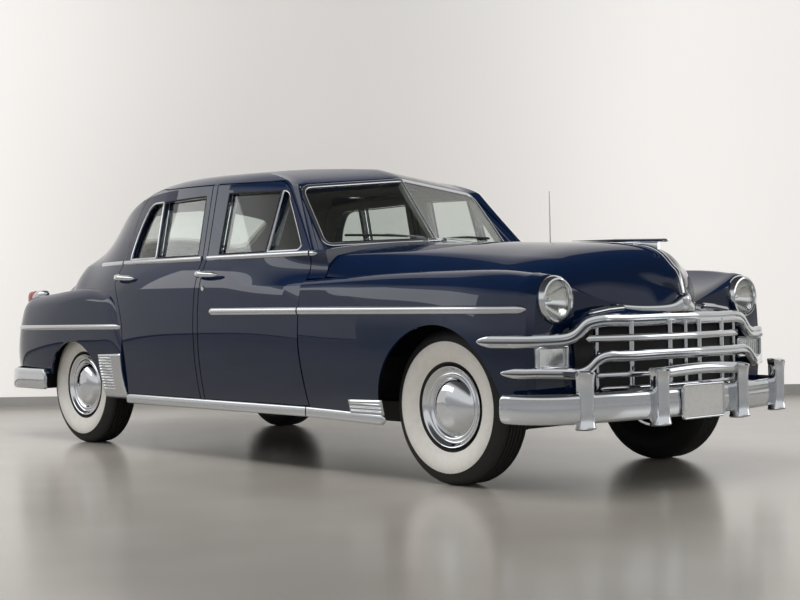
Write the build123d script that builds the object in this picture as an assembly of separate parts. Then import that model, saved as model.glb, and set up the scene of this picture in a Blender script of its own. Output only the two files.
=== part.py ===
"""Classic four-door sedan on a ladder frame: front-hinged doors, rear-hinged hood, trunk lid, steered wheels.

Frame: +X forward, +Y left, +Z up, origin on the ground under the middle of the overall length. Millimetres.
"""

from build123d import *
from collections import namedtuple
import math
import os

# Driving dimensions
WHEELBASE = 3340
FRONT_OVERHANG = 880
REAR_OVERHANG = 1040
BODY_WIDTH = 1870
BUMPER_WIDTH = 1900
SILL_Z = 275
BELT_Z = 1115
TYRE_R = 365
TYRE_W = 206
RIM_R = 191
RIM_W = 144
TYRE_INSET = 88
REAR_TYRE_INSET = 79
KINGPIN_INSET = 62
DOOR_WALL = 64
ROOF_WALL = 40
PANEL_WALL = 16
DOOR_GAP = 7
LID_GAP = 7
SEAT_GAP = 0.4
GLASS_T = 6
GLASS_DEPTH = 24

# Places worked out from the driving dimensions
LENGTH = FRONT_OVERHANG + WHEELBASE + REAR_OVERHANG
FRONT_AXLE = LENGTH / 2 - FRONT_OVERHANG
REAR_AXLE = FRONT_AXLE - WHEELBASE
NOSE = LENGTH / 2
TAIL = -LENGTH / 2
HALF = BODY_WIDTH / 2
FRONT_WHEEL_Y = HALF - TYRE_INSET - TYRE_W / 2
REAR_WHEEL_Y = HALF - REAR_TYRE_INSET - TYRE_W / 2
KINGPIN_Y = FRONT_WHEEL_Y - KINGPIN_INSET
SIDES = (("right", -1), ("left", 1))

os.makedirs("parts", exist_ok=True)


# Small helpers for outlines and solids

def run(start, *steps):
    """Edges from start: a step is the next point of a straight run, or (middle, end) of an arc."""
    edges = []
    here = start
    for step in steps:
        if isinstance(step[0], tuple):
            middle, end = step
            edges.append(Edge.make_three_point_arc(here, middle, end))
        else:
            end = step
            edges.append(Edge.make_line(here, end))
        here = end
    return edges


def closed(start, *steps):
    """A closed wire of straight runs and arcs that comes back to its start."""
    return Wire(run(start, *steps, start))


def bulge(a, b, height):
    """The middle of an arc from a to b in a cross-section plane, raised to the left of the way a to b."""
    dy = b[1] - a[1]
    dz = b[2] - a[2]
    span = math.hypot(dy, dz)
    return (a[0], (a[1] + b[1]) / 2 - dz / span * height, (a[2] + b[2]) / 2 + dy / span * height)


def box(x0, x1, y0, y1, z0, z1):
    """A block between two corners."""
    return Pos((x0 + x1) / 2, (y0 + y1) / 2, (z0 + z1) / 2) * Box(abs(x1 - x0), abs(y1 - y0), abs(z1 - z0))


def side_prism(outline, y0, y1):
    """A closed wire in the XZ plane carried across the car from y0 to y1."""
    face = Face(outline)
    return Solid.extrude(face.moved(Location((0, y0, 0))), Vector(0, y1 - y0, 0))


def plan_prism(outline, z0, z1):
    """A closed wire in the XY plane carried up from z0 to z1."""
    return Solid.extrude(Face(outline).moved(Location((0, 0, z0))), Vector(0, 0, z1 - z0))


def rod(a, b, radius):
    """A round bar from point a to point b."""
    along = Vector(*b) - Vector(*a)
    return Solid.make_cylinder(radius, along.length, Plane(origin=a, z_dir=along))


def ring_y(profile, centre):
    """A profile of (radius, sideways place) points turned about an axle along Y through centre."""
    wire = Wire.make_polygon([(r, y, 0) for r, y in profile], close=True)
    solid = Solid.revolve(Face(wire), 360, Axis((0, 0, 0), (0, 1, 0)))
    return Pos(*centre) * solid


def mirrored(solid):
    """The same piece on the other side of the car."""
    return solid.mirror(Plane.XZ)


def write(name, *solids):
    """One node of one or more solids."""
    flat = [s for piece in solids for s in piece.solids()]
    shape = flat[0] if len(flat) == 1 else Compound(children=flat)
    export_step(shape, f"parts/{name}.step")


# Body shell: sections of the cabin across the car. Sideways places are insets from the half width.
Cabin = namedtuple("Cabin", "x sill wide shoulder dip belt belt_z rail rail_z top top_z crown_z")
CABIN = (
    Cabin(FRONT_AXLE - 850, 67, 7, 40, 90, 103, BELT_Z, 245, 1440, 375, 1520, 1560),
    Cabin(FRONT_AXLE - 1300, 63, 3, 23, 53, 83, BELT_Z, 225, 1500, 350, 1575, 1612),
    Cabin(FRONT_AXLE - 1950, 60, 0, 15, 38, 73, BELT_Z, 155, 1530, 295, 1602, 1645),
    Cabin(REAR_AXLE + 790, 63, 5, 20, 45, 83, BELT_Z, 170, 1522, 315, 1590, 1632),
    Cabin(REAR_AXLE + 340, 75, 30, 50, 80, 120, BELT_Z, 250, 1430, 395, 1505, 1560),
    Cabin(REAR_AXLE - 10, 115, 85, 110, 145, 195, BELT_Z, 350, 1270, 505, 1365, 1425),
    Cabin(REAR_AXLE - 260, 155, 145, 175, 215, 285, 1100, 455, 1160, 595, 1215, 1245),
    Cabin(REAR_AXLE - 410, 200, 190, 230, 290, 380, 1000, 555, 1040, 680, 1072, 1085),
)
WIDE_Z = 700
FLOOR_Z = 335
SHOULDER_Z = 950
DIP_Z = 1035


def cabin_section(row, side, roof, drop):
    """One cabin section, moved in by side at the walls and by roof at the top; drop lowers its open foot."""
    x = row.x

    def at(inset, z, sign=1):
        return (x, -sign * (HALF - inset - side), z)

    def half(sign):
        sill = at(row.sill, SILL_Z - drop, sign)
        wide = at(row.wide, WIDE_Z, sign)
        shoulder = at(row.shoulder, row.belt_z - BELT_Z + SHOULDER_Z, sign)
        dip = at(row.dip, row.belt_z - BELT_Z + DIP_Z, sign)
        belt = at(row.belt, row.belt_z, sign)
        rail = at(row.rail, row.rail_z - roof / 2, sign)
        top = at(row.top, row.top_z - roof, sign)
        middle = bulge(rail, top, sign * 12)
        return sill, wide, shoulder, dip, belt, rail, middle, top

    s, w, h, d, b, r, m, t = half(1)
    s2, w2, h2, d2, b2, r2, m2, t2 = half(-1)
    crown = (x, 0, row.crown_z - roof)
    return closed(s, (w, h), (d, b), r, (m, t), (crown, t2), (m2, r2), b2, (d2, h2), (w2, s2))


def cabin(side, roof, drop):
    """The cabin's outer form, or the same form moved inwards."""
    return Solid.make_loft([cabin_section(row, side, roof, drop) for row in CABIN])


# Trunk and tail: bottom corner, side, deck edge and crown of each section
Trunk = namedtuple("Trunk", "x foot foot_z side side_z edge edge_z crown_z")
TRUNK = (
    Trunk(REAR_AXLE + 540, 160, 330, 130, 700, 180, 1000, 1100),
    Trunk(REAR_AXLE - 10, 165, 330, 145, 700, 195, 1010, 1140),
    Trunk(REAR_AXLE - 260, 195, 350, 170, 700, 235, 1010, 1160),
    Trunk(REAR_AXLE - 510, 245, 400, 220, 700, 295, 960, 1100),
    Trunk(REAR_AXLE - 710, 315, 430, 295, 680, 375, 860, 975),
    Trunk(REAR_AXLE - 840, 395, 450, 385, 620, 465, 720, 815),
    Trunk(REAR_AXLE - 910, 485, 460, 480, 540, 535, 590, 640),
)


def trunk_section(row, wall, drop):
    """One trunk section, moved in by wall; drop lowers its open foot."""
    x = row.x
    foot, side, edge = ((HALF - inset - wall) for inset in (row.foot, row.side, row.edge))
    return closed(
        (x, -foot, row.foot_z - drop),
        ((x, -side, row.side_z), (x, -edge, row.edge_z - wall / 2)),
        ((x, 0, row.crown_z - wall), (x, edge, row.edge_z - wall / 2)),
        ((x, side, row.side_z), (x, foot, row.foot_z - drop)),
    )


def trunk(wall, drop, back):
    """The trunk's outer form, or the same form moved inwards and forward by back."""
    wires = [trunk_section(row, wall, drop) for row in TRUNK]
    return Solid.make_loft([w.moved(Location((back, 0, 0))) for w in wires])


# Side outlines of the doors and windows, in the XZ plane
DOOR_FOOT = 335
FRONT_DOOR_FRONT = FRONT_AXLE - 1010
FRONT_DOOR_REAR = FRONT_AXLE - 1902
REAR_DOOR_FRONT = FRONT_AXLE - 1953
REAR_DOOR_REAR = REAR_AXLE + 620
DIVIDER_W = 24
WINDOW_FOOT = 1142
DOOR_STEP = 11


def front_door_outline():
    """The front door: raked foot of the front edge, raked windshield pillar, rounded top corner."""
    x = FRONT_DOOR_FRONT
    pillar_top = (x - 310, 0, 1478)
    return closed(
        (x + 34, 0, DOOR_FOOT), (x, 0, 640), (x, 0, 1130), pillar_top,
        ((x - 362, 0, 1512), (x - 440, 0, 1523)), (FRONT_DOOR_REAR, 0, 1535), (FRONT_DOOR_REAR, 0, DOOR_FOOT))


def rear_door_outline():
    """The rear door: rounded top rear corner, and a rear edge that follows the fender's front edge."""
    x = REAR_DOOR_REAR
    return closed(
        (REAR_DOOR_FRONT, 0, DOOR_FOOT), (REAR_DOOR_FRONT, 0, 1535), (x + 270, 0, 1541),
        ((x + 80, 0, 1520), (x - 30, 0, 1430)), ((x - 78, 0, 1290), (x - 104, 0, 1120)),
        (x - 134, 0, 1000), ((x - 56, 0, 880), (x, 0, 740)), (x, 0, DOOR_FOOT))


def front_windows():
    """The drop glass and the vent pane ahead of the upright divider."""
    rear = FRONT_DOOR_REAR + 107
    divider = FRONT_DOOR_FRONT - 360
    nose = FRONT_DOOR_FRONT - 92
    return (
        closed((rear, 0, WINDOW_FOOT), (rear, 0, 1478), (divider - DIVIDER_W / 2, 0, 1466),
               (divider - DIVIDER_W / 2, 0, WINDOW_FOOT)),
        closed((divider + DIVIDER_W / 2, 0, WINDOW_FOOT), (divider + DIVIDER_W / 2, 0, 1464),
               ((nose - 215, 0, 1452), (nose - 190, 0, 1412)), (nose, 0, 1172),
               ((nose - 2, 0, 1152), (nose - 22, 0, WINDOW_FOOT))),
    )


def rear_windows():
    """The drop glass and the fixed pane behind the upright divider."""
    front = REAR_DOOR_FRONT - 48
    divider = REAR_DOOR_REAR + 280
    tail = REAR_DOOR_REAR - 26
    return (
        closed((front, 0, WINDOW_FOOT), (divider + DIVIDER_W / 2, 0, WINDOW_FOOT),
               (divider + DIVIDER_W / 2, 0, 1468), (front, 0, 1474)),
        closed((divider - DIVIDER_W / 2, 0, WINDOW_FOOT), (tail, 0, WINDOW_FOOT),
               ((tail + 30, 0, 1280), (tail + 118, 0, 1430)), ((tail + 170, 0, 1460), (tail + 215, 0, 1466)),
               (divider - DIVIDER_W / 2, 0, 1467)),
    )


def grown(wire, amount):
    """A side outline moved outwards by amount, or inwards where it is negative."""
    flat = Face(Wire([e.rotate(Axis.X, -90) for e in wire.edges()]))
    moved = offset(flat, amount, kind=Kind.INTERSECTION)
    return Wire([e.rotate(Axis.X, 90) for e in moved.face().outer_wire().edges()])


def shrunk(wire, gap):
    """A window outline drawn in evenly about its middle, by about gap at its edges."""
    size = wire.bounding_box().size
    middle = Face(wire).center()
    share = 2 * gap / size.Z
    edges = []
    for edge in wire.edges():
        points = [edge.position_at(t) for t in (0, 0.5, 1)]
        a, m, b = (tuple(p + (middle - p) * share) for p in points)
        edges.append(Edge.make_line(a, b) if edge.geom_type == GeomType.LINE else Edge.make_three_point_arc(a, m, b))
    return Wire(edges)


# Body forms
outer = cabin(0, 0, 0)
inner = cabin(DOOR_WALL, ROOF_WALL, 120)
lip = cabin(26, 26, 120)
glass_out = cabin(GLASS_DEPTH, GLASS_DEPTH, 0)
glass_in = cabin(GLASS_DEPTH + GLASS_T, GLASS_DEPTH + GLASS_T, 40)
fender_bed = cabin(PANEL_WALL, PANEL_WALL, 40)
TRUNK_WALL = 30
tail_outer = trunk(0, 0, 0)
tail_inner = trunk(TRUNK_WALL, 60, TRUNK_WALL + 4)
shell = (outer + tail_outer) - (inner + tail_inner)

# Windshield: two flat panes that meet in a V, raked back
GLASS_FOOT = (FRONT_AXLE - 960, 1203)
GLASS_RAKE = 0.80
GLASS_SWEEP = 0.21
PANE_FOOT_Y = 672
PANE_TOP_Y = 634
PANE_FOOT_Z = 1180
PANE_TOP_Z = 1472


def pane_x(y, z):
    """Where the windshield's outer face is along the car, at half-width y and height z."""
    return GLASS_FOOT[0] - GLASS_SWEEP * abs(y) - GLASS_RAKE * (z - GLASS_FOOT[1])


def pane_point(y, z, side):
    return (pane_x(y, z), side * y, z)


def pane(side, edge, lift, thick):
    """One flat pane: edge widens it all round, lift moves it off the pillar face, thick is its glass."""
    foot_mid, top_mid = 1209 - edge, 1530 + edge
    inner_y = 8
    points = [pane_point(inner_y, foot_mid, side), pane_point(PANE_FOOT_Y + edge, PANE_FOOT_Z - edge, side),
              pane_point(PANE_TOP_Y + edge, PANE_TOP_Z + edge, side), pane_point(inner_y, top_mid, side)]
    normal = Vector(1, side * GLASS_SWEEP, GLASS_RAKE).normalized()
    face = Face(Wire.make_polygon(points, close=True))
    face = face.moved(Location(normal * lift))
    return Solid.extrude(face, normal * thick)


PANE_EDGE = 14
PILLAR_TURN = 0.35
FRAME_DEPTH = 45


def pane_edge(z):
    """Half-width of the visible glass at height z."""
    share = (z - PANE_FOOT_Z) / (PANE_TOP_Z - PANE_FOOT_Z)
    return PANE_FOOT_Y + (PANE_TOP_Y - PANE_FOOT_Y) * share


def above_cowl(lift):
    """The space over the crowned cowl."""
    crown = closed((0, -HALF - 60, 1110 + lift), ((0, 0, 1186 + lift), (0, HALF + 60, 1110 + lift)),
                   (0, HALF + 60, 1900), (0, -HALF - 60, 1900))
    return Solid.extrude(Face(crown), Vector(1200, 0, 0))


def glass_face(z, side, back):
    """Plan points of the glass plane at height z, then of the pillar face that turns forward outside it."""
    fold = pane_edge(z) + PANE_EDGE + 3
    far = 1000
    return [(pane_x(0, z) - back, 0, z), (pane_x(fold, z) - back, side * fold, z),
            (pane_x(fold, z) + PILLAR_TURN * (far - fold) - back, side * far, z)]


def glass_prism(side, low, high, back, ahead):
    """The space between the glass face moved back and the same face, or a plane ahead of it."""
    wires = []
    for z in (low, high):
        rear = glass_face(z, side, back)
        front = [(ahead, y, z) for _, y, _ in rear] if ahead else glass_face(z, side, 0)
        wires.append(Wire.make_polygon(rear + front[::-1], close=True))
    return Solid.make_loft(wires, ruled=True)


def ahead_of_glass():
    """The space ahead of the windshield's planes and above the crowned cowl."""
    return above_cowl(0) & (glass_prism(-1, 1000, 1800, 0, 1200) + glass_prism(1, 1000, 1800, 0, 1200))


glass_space = ahead_of_glass()
shell = shell - glass_space
print("shell", [round(s.volume / 1e9, 4) for s in shell.solids()])

# Rear fenders: pontoons bolted to the body side, inner face on one plane
FENDER_PLANE = HALF - 217
RearFender = namedtuple("RearFender", "x foot wide shoulder crest top_z")
REAR_FENDER = (
    RearFender(REAR_DOOR_REAR - DOOR_GAP - SEAT_GAP, 62, 6, 18, 40, 785),
    RearFender(REAR_AXLE + 540, 60, 3, 16, 50, 900),
    RearFender(REAR_AXLE + 390, 58, 0, 14, 58, 962),
    RearFender(REAR_AXLE + 150, 58, -2, 14, 62, 980),
    RearFender(REAR_AXLE - 250, 60, -2, 18, 70, 962),
    RearFender(REAR_AXLE - 560, 72, 12, 38, 95, 945),
    RearFender(REAR_AXLE - 730, 100, 42, 72, 120, 912),
    RearFender(REAR_AXLE - 830, 140, 85, 110, 145, 840),
)
REAR_FOOT_Z = 300
REAR_WIDE_Z = 600


def rear_fender_section(row, wall, drop, reach):
    """One right-hand rear fender section: outer face, rounded top and the face against the body.

    wall moves it in, drop lowers its open foot and reach carries its inner face towards the car's middle.
    """
    x = row.x
    wide_z = min(REAR_WIDE_Z, (REAR_FOOT_Z + row.top_z) / 2)
    foot = (x, -(HALF - row.foot - wall), REAR_FOOT_Z - drop)
    wide = (x, -(HALF - row.wide - wall), wide_z)
    shoulder = (x, -(HALF - row.shoulder - wall), row.top_z - 85 - wall / 2)
    crest = (x, -(HALF - row.crest - wall / 2), row.top_z - wall - 12)
    top = (x, -FENDER_PLANE + reach, row.top_z - wall)
    return closed(foot, (wide, shoulder), (bulge(shoulder, crest, 9), crest), top,
                  (x, -FENDER_PLANE + reach, REAR_FOOT_Z - drop))


def rear_fender_form(wall, drop, reach):
    """The rear fender's solid form, grown or shrunk by wall."""
    return Solid.make_loft([rear_fender_section(row, wall, drop, reach) for row in REAR_FENDER])


def wheel_arch(x, z, radius, y0, y1):
    """A round-topped wheel opening that is open below."""
    top = rod((x, y0, z), (x, y1, z), radius)
    return top + box(x - radius, x + radius, y0, y1, -10, z)


REAR_ARCH = (REAR_AXLE + 35, 330, 315)
hollow_room = box(REAR_FENDER[-1].x + PANEL_WALL, REAR_FENDER[0].x - PANEL_WALL, -HALF - 50, 0, 0, 1200)
rear_fender = rear_fender_form(0, 0, 0) - (rear_fender_form(PANEL_WALL, 40, 40) & hollow_room)
rear_fender = rear_fender - wheel_arch(*REAR_ARCH, -HALF - 60, -FENDER_PLANE)
rear_fender = rear_fender - box(REAR_AXLE - 1000, REAR_ARCH[0] - 250, -HALF - 60, 0, 0, 430)
rear_opening = side_prism(grown(rear_door_outline(), DOOR_GAP), -HALF - 60, HALF + 60)
rear_fender = rear_fender - rear_opening
write("rear_fenders", rear_fender, mirrored(rear_fender))
print("rear fender", [round(s.volume / 1e6, 2) for s in rear_fender.solids()])

# Body pieces cut from the shell
COWL_FRONT = FRONT_AXLE - 887
COWL_REAR = FRONT_DOOR_FRONT + DOOR_GAP
FENDER_CREST_Z = 987
LID_FRONT = REAR_AXLE - 360
LID_HALF = HALF - 430
LID_FOOT = 600
HOOD_REAR = FRONT_AXLE - 880
ROOF_REAR = REAR_AXLE - 200

LINER_T = 14
fender_room = rear_fender_form(-SEAT_GAP, 140, SEAT_GAP)
fender_room = fender_room + mirrored(fender_room)
FENDER_TIP_ROOM = 2.5
tip_room = rear_fender_form(-FENDER_TIP_ROOM, 140, SEAT_GAP) & box(REAR_AXLE + 390, REAR_DOOR_REAR, -HALF - 60, 0, 0, 1000)
liner_out = rear_fender_form(-LINER_T, 0, LINER_T)
liner_out = (liner_out + mirrored(liner_out)) & (outer + tail_outer)
sill_rear = REAR_DOOR_REAR - DOOR_GAP
liner_out = liner_out & box(REAR_AXLE - 830, sill_rear - SEAT_GAP, -HALF, HALF, REAR_FOOT_Z, 1100)
WELL_R = TYRE_R + 48
WELL_IN = REAR_WHEEL_Y - TYRE_W / 2 - 40
well = wheel_arch(REAR_AXLE, TYRE_R, WELL_R, -HALF - 100, -WELL_IN)
well_tub = wheel_arch(REAR_AXLE, TYRE_R, WELL_R + 12, -FENDER_PLANE + 6, -WELL_IN + 12)
well_tub = well_tub & box(REAR_AXLE - 600, REAR_AXLE + 600, -HALF, 0, REAR_FOOT_Z + 30, 1000)
well = well + box(REAR_AXLE - 75, REAR_AXLE + 75, -WELL_IN - 1, -WELL_IN + 20, 0, 520)
wells = well + mirrored(well)
liner = (liner_out + well_tub + mirrored(well_tub)) - fender_room - wells - rear_opening

doors = {}
openings = []
DOOR_OUTLINES = (("front_door", front_door_outline, front_windows), ("rear_door", rear_door_outline, rear_windows))
for kind, outline, windows in DOOR_OUTLINES:
    edge = outline()
    openings.append(side_prism(grown(edge, DOOR_GAP), -HALF - 60, HALF + 60))
    room = side_prism(edge, -HALF - 60, -200)
    rim = side_prism(grown(edge, 30), -HALF - 60, -200) - side_prism(grown(edge, -DOOR_STEP), -HALF - 70, -190)
    panel = ((shell & room) - (lip & rim))
    panes = []
    for window in windows():
        panel = panel - side_prism(window, -HALF - 60, -200)
        pane_room = side_prism(shrunk(window, SEAT_GAP), -HALF - 60, -200)
        panes.append((glass_out - glass_in) & pane_room)
    doors[kind] = (panel, panes)
    print(kind, [round(s.volume / 1e6, 2) for s in panel.solids()], len(panes))

body = shell - openings[0] - openings[1] - fender_room - wells
door_zone = openings[0] - cabin(DOOR_WALL + 6, DOOR_WALL + 6, 120)
glass_frame = glass_prism(-1, 1090, 1640, FRAME_DEPTH, 0) + glass_prism(1, 1090, 1640, FRAME_DEPTH, 0)
for _, side in SIDES:
    glass_frame = glass_frame - pane(side, 0, -150, 300)
glass_frame = (glass_frame & outer & above_cowl(SEAT_GAP)) - door_zone
roof = body & box(ROOF_REAR, FRONT_AXLE, -HALF - 50, HALF + 50, BELT_Z, 1800)
roof = roof - box(COWL_REAR - SEAT_GAP, FRONT_AXLE, -HALF - 50, HALF + 50, BELT_Z - 50, 1190)
roof = roof + glass_frame
belt_gap = BELT_Z - SEAT_GAP
sills = body & box(sill_rear, COWL_REAR, -HALF - 50, HALF + 50, 0, belt_gap)
for _, side in SIDES:
    sills = sills + box(sill_rear, COWL_REAR, side * (HALF - 195), side * (HALF - 110), SILL_Z, FLOOR_Z)
rear_low = box(TAIL, sill_rear - SEAT_GAP, -HALF - 50, HALF + 50, 0, belt_gap)
rear_high = box(TAIL, ROOF_REAR - SEAT_GAP, -HALF - 50, HALF + 50, 0, 1800)
rear_body = (body & (rear_low + rear_high)) + liner
lid_room = box(TAIL, LID_FRONT + LID_GAP, -LID_HALF - LID_GAP, LID_HALF + LID_GAP, LID_FOOT - LID_GAP, 1800)
lid = shell & box(TAIL, LID_FRONT, -LID_HALF, LID_HALF, LID_FOOT, 1800)
rear_body = rear_body - lid_room - tip_room - mirrored(tip_room)
cowl_high = body & box(COWL_REAR, COWL_FRONT, -HALF - 50, HALF + 50, FENDER_CREST_Z, 1800)
cowl_low = (cabin(PANEL_WALL + SEAT_GAP, PANEL_WALL, 0) - inner)
cowl_low = cowl_low & box(COWL_REAR, COWL_FRONT, -HALF - 50, HALF + 50, 0, FENDER_CREST_Z)
cowl_low = cowl_low - openings[0]
crown_high = closed((0, -HALF - 60, 1110), ((0, 0, 1186), (0, HALF + 60, 1110)), (0, HALF + 60, 1094),
                    ((0, 0, 1170), (0, -HALF - 60, 1094)))
cowl_top = Solid.extrude(Face(crown_high).moved(Location((FRONT_DOOR_FRONT - 160, 0, 0))),
                         Vector(COWL_FRONT - FRONT_DOOR_FRONT + 160, 0, 0))
cowl_inside = box(FRONT_DOOR_FRONT - 200, COWL_REAR, -HALF, HALF, 1000, 1200) & cabin(DOOR_WALL + 6, DOOR_WALL + 6, 120)
cowl_ahead = box(COWL_REAR, COWL_FRONT, -HALF, HALF, 900, 1200)
FIREWALL_TOP = 985
wall_z = FIREWALL_TOP + SEAT_GAP
cowl_front = closed((0, -HALF - 60, wall_z), (0, -HALF - 60, 1100), ((0, 0, 1176), (0, HALF + 60, 1100)),
                    (0, HALF + 60, wall_z))
cowl_front = Solid.extrude(Face(cowl_front).moved(Location((COWL_FRONT - PANEL_WALL, 0, 0))), Vector(PANEL_WALL, 0, 0))
cowl_top = ((cowl_top + cowl_front) & outer) & (cowl_inside + cowl_ahead)
cowl = cowl_high + cowl_low + cowl_top

# Hinge leaves: blocks on the fixed pieces that end just short of the moving edge, which draws away from them
LEAF_GAP = 0.3
LEAF_Z = (690, 760)
for _, side in SIDES:
    leaf_y = (side * (HALF - 64), side * (HALF - 42))
    cowl = cowl + box(FRONT_DOOR_FRONT - DOOR_STEP + LEAF_GAP, COWL_REAR + 6, *leaf_y, *LEAF_Z)
    sills = sills + box(REAR_DOOR_FRONT - DOOR_STEP + LEAF_GAP, REAR_DOOR_FRONT + DOOR_GAP + 6, *leaf_y, *LEAF_Z)
    hinge_y = (side * 180, side * 220)
    cowl = cowl + box(COWL_FRONT - 3, HOOD_REAR - LEAF_GAP, *hinge_y, 1150, 1169)
    rear_body = rear_body + box(LID_FRONT + LEAF_GAP, LID_FRONT + LID_GAP + 6, *hinge_y, 1113, 1127)
for name, piece in (("roof", roof), ("sills", sills), ("rear_body", rear_body), ("trunk_lid", lid), ("cowl", cowl)):
    print(name, [round(s.volume / 1e6, 2) for s in piece.solids()], piece.is_valid)
    write(name, piece)
for kind, (panel, panes) in doors.items():
    write(f"{kind}_right", panel)
    write(f"{kind}_left", mirrored(panel))
    write(f"{kind}_glass_right", *panes)
    write(f"{kind}_glass_left", *[mirrored(p) for p in panes])

# Hood: edge beside the fender, shoulder and crown of each section
Hood = namedtuple("Hood", "x edge edge_z shoulder shoulder_z crown_z")
HOOD = (
    Hood(HOOD_REAR, 120, 1003, 295, 1125, 1178),
    Hood(FRONT_AXLE - 450, 275, 968, 435, 1105, 1166),
    Hood(FRONT_AXLE + 50, 350, 938, 505, 1075, 1145),
    Hood(FRONT_AXLE + 400, 385, 913, 545, 1040, 1125),
    Hood(FRONT_AXLE + 560, 445, 885, 605, 1000, 1105),
    Hood(FRONT_AXLE + 660, 530, 850, 690, 950, 1062),
    Hood(FRONT_AXLE + 710, 640, 850, 765, 925, 1010),
    Hood(FRONT_AXLE + 735, 775, 872, 835, 912, 960),
)


def hood_section(row, wall, drop):
    """One hood section: two rounded flanks and the crown over them."""
    x = row.x
    edge_y = HALF - row.edge - wall
    shoulder_y = HALF - row.shoulder - wall * 0.7
    edge_z = row.edge_z - drop
    shoulder_z = row.shoulder_z - wall * 0.7
    right, left = (x, -edge_y, edge_z), (x, edge_y, edge_z)
    right_top, left_top = (x, -shoulder_y, shoulder_z), (x, shoulder_y, shoulder_z)
    swell = math.hypot(edge_y - shoulder_y, edge_z - shoulder_z) * 0.1
    return closed(right, (bulge(right, right_top, swell), right_top), ((x, 0, row.crown_z - wall), left_top),
                  (bulge(left_top, left, swell), left))


SMOOTH_ROWS = 5


def hood_form(wall, drop):
    """The hood's outer form, or the form inside it: a smooth length, then a nose of ruled facets."""
    wires = []
    for row in HOOD:
        back = wall if row is not HOOD[0] else math.copysign(1, wall) if wall else 0
        wires.append(hood_section(row, wall, drop).moved(Location((-back, 0, 0))))
    return Solid.make_loft(wires[:SMOOTH_ROWS]) + Solid.make_loft(wires[SMOOTH_ROWS - 1:], ruled=True)


hood = hood_form(0, 0) - hood_form(PANEL_WALL, 60)
print("hood", [round(s.volume / 1e6, 2) for s in hood.solids()], hood.is_valid)
write("hood", hood)

# Front fenders: outer face, crest and the valley beside the hood
Fender = namedtuple("Fender", "x foot wide shoulder shoulder_z crest crest_z valley valley_z")
TUCK = 14
HOOD_GAP = 8
FENDER = (
    Fender(COWL_REAR, 67, 7, 22, 915, 62, 976, 100, 985),
    Fender(HOOD[0].x, 66, 6, 24, 920, 75, 983, HOOD[0].edge + TUCK, HOOD[0].edge_z - HOOD_GAP - 4),
    Fender(HOOD[1].x, 60, 3, 28, 930, 125, 1000, HOOD[1].edge + TUCK, HOOD[1].edge_z - HOOD_GAP),
    Fender(HOOD[2].x, 60, 5, 35, 925, 180, 1000, HOOD[2].edge + TUCK, HOOD[2].edge_z - HOOD_GAP),
    Fender(HOOD[3].x, 70, 20, 52, 905, 212, 986, HOOD[3].edge + TUCK, HOOD[3].edge_z - HOOD_GAP),
    Fender(HOOD[4].x, 115, 72, 95, 880, 232, 966, HOOD[4].edge + TUCK, HOOD[4].edge_z - HOOD_GAP),
)
APRON = 130


def fender_section(row, wall, drop):
    """One right-hand front fender section."""
    x = row.x
    foot = (x, -(HALF - row.foot - wall), SILL_Z - drop)
    wide = (x, -(HALF - row.wide - wall), WIDE_Z)
    shoulder = (x, -(HALF - row.shoulder - wall), row.shoulder_z - wall * 0.4)
    crest = (x, -(HALF - row.crest - wall * 0.3), row.crest_z - wall)
    valley = (x, -(HALF - row.valley + wall), row.valley_z - wall)
    apron = (x, valley[1], row.valley_z - APRON - drop)
    rise = math.hypot(shoulder[1] - crest[1], shoulder[2] - crest[2]) * 0.16
    dip = math.hypot(valley[1] - crest[1], valley[2] - crest[2]) * 0.02
    return closed(foot, (wide, shoulder), (bulge(shoulder, crest, rise), crest),
                  (bulge(crest, valley, -dip), valley), apron)


FRONT_ARCH = (FRONT_AXLE, 335, 384)
fender_solid = Solid.make_loft([fender_section(row, 0, 0) for row in FENDER])
last = len(FENDER) - 1
fender_hollow = Solid.make_loft(
    [fender_section(row, PANEL_WALL, 60).moved(Location((-PANEL_WALL if i == last else 0, 0, 0)))
     for i, row in enumerate(FENDER)])
fender = fender_solid - fender_hollow - (fender_bed & box(COWL_REAR - 60, COWL_FRONT + 4, -HALF, 0, 0, 1300))
fender = fender - wheel_arch(*FRONT_ARCH, -HALF - 60, -300) - openings[0]
fender_skin = Solid.make_loft(
    [fender_section(row, -SEAT_GAP, 0).moved(Location((SEAT_GAP if i == last else 0, 0, 0)))
     for i, row in enumerate(FENDER)])
fender_skin = fender_skin + mirrored(fender_skin)
fender = fender - box(FRONT_AXLE + 250, NOSE, -HALF - 60, 0, 0, 430)
print("fender", [round(s.volume / 1e6, 2) for s in fender.solids()], fender.is_valid)
write("front_fenders", fender, mirrored(fender))

# Nose panel: body-colour surround of the grille, bowed in plan between the fenders
FENDER_FRONT = FENDER[-1].x
NOSE_PANEL_T = 14
NOSE_BOW = 108
NOSE_HALF = HALF - HOOD[4].edge - TUCK - 20
FRONT_RAIL_Z = 440
NOSE_LOW = FRONT_RAIL_Z + SEAT_GAP
NOSE_HIGH = 828


def bow_strip(x, half, bow, thick, z0, z1):
    """A strip bowed forward in plan: x at its ends, x + bow at the middle."""
    return plan_prism(closed((x, -half, 0), ((x + bow, 0, 0), (x, half, 0)), (x - thick, half, 0),
                             ((x + bow - thick, 0, 0), (x - thick, -half, 0))), z0, z1)


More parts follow.
